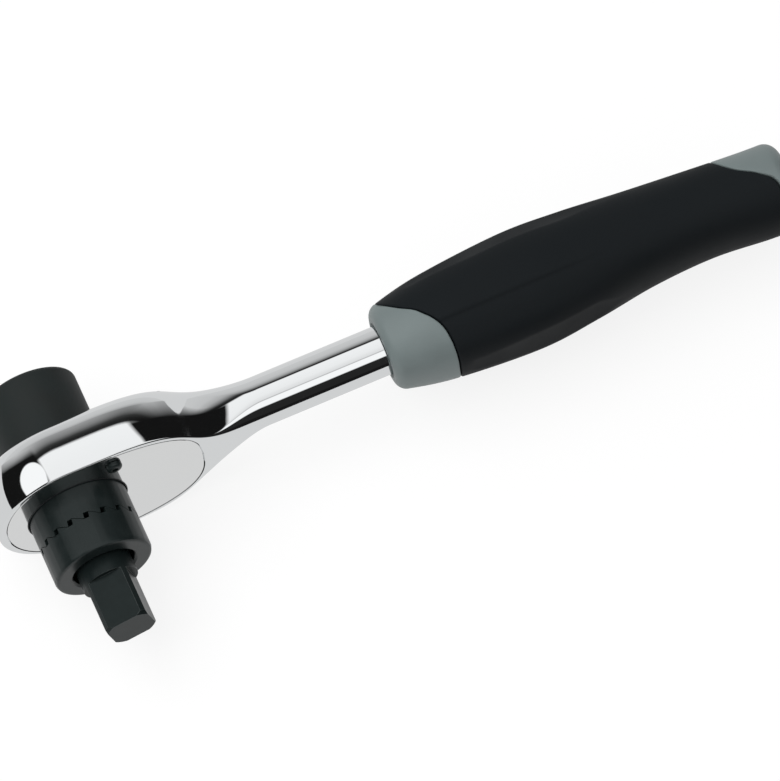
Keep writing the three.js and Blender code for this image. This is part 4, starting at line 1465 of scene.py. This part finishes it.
# Where the room turns dark past the tool's ends, along X and then back along Y. The right end
# leans over with the tilt.
LEFT_DARK, LEFT_FADE = (-0.36, -0.42), (0.7, 0.58)
RIGHT_DARK, RIGHT_FADE, RIGHT_LEAN = (0.53, 0.6), (0.56, 0.43), -0.3
DARK_LEVEL = (0.008, 0.008, 0.008, 1.0)
# The round lamp that metal sees: the way to it, the cosines at its soft edge and its level
LAMP_WAY = Vector((-0.656, 0.198, 0.729)).normalized()
LAMP_EDGE = (0.944, 0.952)
LAMP_LEVEL = (1.12, 1.12, 1.12, 1.0)
# The soft key light overhead, in metres
KEY_SIZE = (1.2, 0.8)
KEY_PLACE = Vector((-0.35, 0.2, 1.0))
KEY_AIM = Vector((0.07, 0.03, 0.0))


class RATCHET_OT_stage(bpy.types.Operator):
    """Sets the floor, the light and the camera"""

    bl_idname = "ratchet.stage"
    bl_label = "Stage"

    def execute(self, context):
        scene = context.scene
        stage = scene.ratchet_stage
        colours = scene.ratchet_finish
        scene.view_settings.view_transform = "Standard"
        self.lay_floor(colours)
        self.light_room(scene, stage)
        # The camera looks down on the upper flank, from the drive side
        middle = Vector((0.0, AXIS_HEIGHT, 0.0))
        middle += CAMERA_RIGHT * PICTURE_MIDDLE[0]
        middle += CAMERA_UP * PICTURE_MIDDLE[1]
        lens = bpy.data.cameras.new("camera")
        lens.sensor_width = SENSOR
        lens.lens = SENSOR * stage.distance / stage.picture
        lens.clip_start = 0.05
        lens.clip_end = 20.0
        camera = bpy.data.objects.new("camera", lens)
        scene.collection.objects.link(camera)
        turn = Matrix((CAMERA_RIGHT, CAMERA_UP, CAMERA_BACK)).transposed().to_4x4()
        place = middle + CAMERA_BACK * stage.distance
        camera.matrix_world = Matrix.Translation(place) @ turn
        scene.camera = camera
        return {"FINISHED"}

    def lay_floor(self, colours):
        bm = bmesh.new()
        bmesh.ops.create_grid(
            bm,
            x_segments=1,
            y_segments=1,
            size=FLOOR_SIZE,
            matrix=Matrix.Translation((FLOOR_MIDDLE, 0.0, body_low.z - FLOOR_GAP)),
        )
        floor = loose_object("floor", bm)
        # Pale paper sweep: white in the picture, with the tool's soft shadow kept
        paper = bpy.data.materials.new("pale_paper")
        paper.use_nodes = True
        tree = paper.node_tree
        tree.nodes.remove(tree.nodes["Principled BSDF"])
        path = add_node(tree, "ShaderNodeLightPath", {})
        dull = add_node(tree, "ShaderNodeBsdfDiffuse", {"Color": colours.floor})
        white = add_node(tree, "ShaderNodeEmission", {"Color": WHITE, "Strength": 1.0})
        seen = add_node(
            tree, "ShaderNodeMixShader", {0: FLOOR_WHITE, 1: dull.outputs[0], 2: white.outputs[0]}
        )
        # Metal sees the paper under the tool and in front of the head, and the dark room past
        # the paper's front edge along the handle
        place = add_node(tree, "ShaderNodeTexCoord", {}).outputs["Object"]
        axes = add_node(tree, "ShaderNodeSeparateXYZ", {"Vector": place}).outputs
        levels = []
        for axis, (start, end), low in (
            ("Y", PAPER_EDGE, PAPER_LEVELS[0]),
            ("X", HEAD_EDGE, 0.0),
        ):
            level = add_node(
                tree,
                "ShaderNodeMapRange",
                {
                    "Value": axes[axis],
                    "From Min": start,
                    "From Max": end,
                    "To Min": low,
                    "To Max": PAPER_LEVELS[1],
                },
            )
            levels.append(level.outputs[0])
        paler = add_node(
            tree, "ShaderNodeMath", {0: levels[0], 1: levels[1]}, operation="MAXIMUM"
        )
        mirrored = add_node(
            tree, "ShaderNodeEmission", {"Color": WHITE, "Strength": paler.outputs[0]}
        )
        shiny = add_node(
            tree,
            "ShaderNodeMixShader",
            {0: path.outputs["Is Glossy Ray"], 1: dull.outputs[0], 2: mirrored.outputs[0]},
        )
        camera = add_node(
            tree,
            "ShaderNodeMixShader",
            {0: path.outputs["Is Camera Ray"], 1: shiny.outputs[0], 2: seen.outputs[0]},
        )
        tree.links.new(camera.outputs[0], tree.nodes["Material Output"].inputs["Surface"])
        floor.data.materials.append(paper)

    def light_room(self, scene, stage):
        # White in the picture. Metal sees the studio: a pale room behind, a long white light
        # overhead and the dark side of the room in front.
        world = bpy.data.worlds.new("studio")
        scene.world = world
        world.use_nodes = True
        tree = world.node_tree
        path = add_node(tree, "ShaderNodeLightPath", {})
        way = add_node(tree, "ShaderNodeTexCoord", {}).outputs["Generated"]
        axes = add_node(tree, "ShaderNodeSeparateXYZ", {"Vector": way}).outputs
        ahead = add_node(
            tree, "ShaderNodeMath", {0: axes["Y"], 1: -1.0}, operation="MULTIPLY"
        )
        tilt = add_node(
            tree, "ShaderNodeMath", {0: ahead.outputs[0], 1: axes["Z"]}, operation="ARCTAN2"
        )
        share = add_node(
            tree,
            "ShaderNodeMapRange",
            {"Value": tilt.outputs[0], "From Min": -math.pi, "From Max": math.pi},
        )
        bands = add_node(tree, "ShaderNodeValToRGB", {"Fac": share.outputs["Result"]})
        ramp = bands.color_ramp
        while len(ramp.elements) > 1:
            ramp.elements.remove(ramp.elements[-1])
        for i, (degrees, level) in enumerate(STUDIO_BANDS):
            place = (degrees + 180.0) / 360.0
            element = ramp.elements[0] if i == 0 else ramp.elements.new(place)
            element.position = place
            element.color = (level, level, level, 1.0)
        # Dark past both ends of the tool, with one round lamp to the left
        lean = add_node(
            tree,
            "ShaderNodeMath",
            {0: tilt.outputs[0], 1: RIGHT_LEAN, 2: axes["X"]},
            operation="MULTIPLY_ADD",
        )
        sides = []
        for across, edge, fade in (
            (axes["X"], LEFT_DARK, LEFT_FADE),
            (lean.outputs[0], RIGHT_DARK, RIGHT_FADE),
        ):
            ends = [
                add_node(
                    tree,
                    "ShaderNodeMapRange",
                    {"Value": value, "From Min": start, "From Max": end},
                ).outputs[0]
                for value, (start, end) in ((across, edge), (axes["Y"], fade))
            ]
            side = add_node(
                tree, "ShaderNodeMath", {0: ends[0], 1: ends[1]}, operation="MULTIPLY"
            )
            sides.append(side.outputs[0])
        dark = add_node(
            tree, "ShaderNodeMath", {0: sides[0], 1: sides[1]}, operation="MAXIMUM"
        )
        spot = add_node(
            tree,
            "ShaderNodeVectorMath",
            {0: way, 1: LAMP_WAY},
            operation="DOT_PRODUCT",
        )
        lamp = add_node(
            tree,
            "ShaderNodeMapRange",
            {"Value": spot.outputs["Value"], "From Min": LAMP_EDGE[0], "From Max": LAMP_EDGE[1]},
        )
        room = add_node(
            tree,
            "ShaderNodeMix",
            {"Factor": dark.outputs[0], 6: bands.outputs["Color"], 7: DARK_LEVEL},
            data_type="RGBA",
        )
        lit = add_node(
            tree,
            "ShaderNodeMix",
            {"Factor": lamp.outputs[0], 6: room.outputs[2], 7: LAMP_LEVEL},
            data_type="RGBA",
        )
        shiny = add_node(
            tree,
            "ShaderNodeMath",
            {0: path.outputs["Is Glossy Ray"], 1: path.outputs["Is Transmission Ray"]},
            operation="MAXIMUM",
        )
        plain = stage.fill
        seen = add_node(
            tree,
            "ShaderNodeMix",
            {"Factor": shiny.outputs[0], 6: (plain, plain, plain, 1), 7: lit.outputs[2]},
            data_type="RGBA",
        )
        final = add_node(
            tree,
            "ShaderNodeMix",
            {"Factor": path.outputs["Is Camera Ray"], 6: seen.outputs[2], 7: WHITE},
            data_type="RGBA",
        )
        background = tree.nodes["Background"]
        tree.links.new(final.outputs[2], background.inputs["Color"])
        background.inputs["Strength"].default_value = 1.0
        # One large soft key overhead
        key = bpy.data.lights.new("key", "AREA")
        key.shape = "RECTANGLE"
        key.size, key.size_y = KEY_SIZE
        key.energy = stage.key
        lamp_object = bpy.data.objects.new("key", key)
        lamp_object.location = KEY_PLACE
        lamp_object.rotation_euler = (KEY_AIM - KEY_PLACE).to_track_quat("-Z", "Y").to_euler()
        lamp_object.visible_glossy = False
        scene.collection.objects.link(lamp_object)


PIECES = (
    RATCHET_OT_finishes,
    RATCHET_OT_forging,
    RATCHET_OT_plate,
    RATCHET_OT_screws,
    RATCHET_OT_seal,
    RATCHET_OT_jaws,
    RATCHET_OT_spindle,
    RATCHET_OT_knob,
    RATCHET_OT_lever,
    RATCHET_OT_sleeve,
    RATCHET_OT_core,
    RATCHET_OT_balls,
    RATCHET_OT_springs,
    RATCHET_OT_inner,
    RATCHET_OT_stage,
)


class RATCHET_PT_pieces(bpy.types.Panel):
    """Lists the pieces of the ratchet"""

    bl_idname = "RATCHET_PT_pieces"
    bl_label = "Torque-limiting ratchet"
    bl_space_type = "VIEW_3D"
    bl_region_type = "UI"
    bl_category = "Ratchet"

    def draw(self, context):
        for operator in PIECES:
            self.layout.operator(operator.bl_idname)


GROUPS = {
    "ratchet_head": RatchetHead,
    "ratchet_drive": RatchetDrive,
    "ratchet_grip": RatchetGrip,
    "ratchet_finish": RatchetFinish,
    "ratchet_stage": RatchetStage,
}


def register():
    for group in (*GROUPS.values(), *PIECES, RATCHET_PT_pieces):
        bpy.utils.register_class(group)
    for name, group in GROUPS.items():
        setattr(bpy.types.Scene, name, PointerProperty(type=group))


def unregister():
    for name in GROUPS:
        delattr(bpy.types.Scene, name)
    for group in (RATCHET_PT_pieces, *reversed(PIECES), *GROUPS.values()):
        bpy.utils.unregister_class(group)


def main():
    register()
    bpy.ops.ratchet.finishes()
    bpy.ops.ratchet.forging()
    bpy.ops.ratchet.plate()
    bpy.ops.ratchet.screws()
    bpy.ops.ratchet.seal()
    bpy.ops.ratchet.jaws()
    bpy.ops.ratchet.spindle()
    bpy.ops.ratchet.knob()
    bpy.ops.ratchet.lever()
    bpy.ops.ratchet.sleeve()
    bpy.ops.ratchet.core()
    bpy.ops.ratchet.balls()
    bpy.ops.ratchet.springs()
    bpy.ops.ratchet.inner()
    bpy.ops.ratchet.stage()


if __name__ == "__main__":
    main()
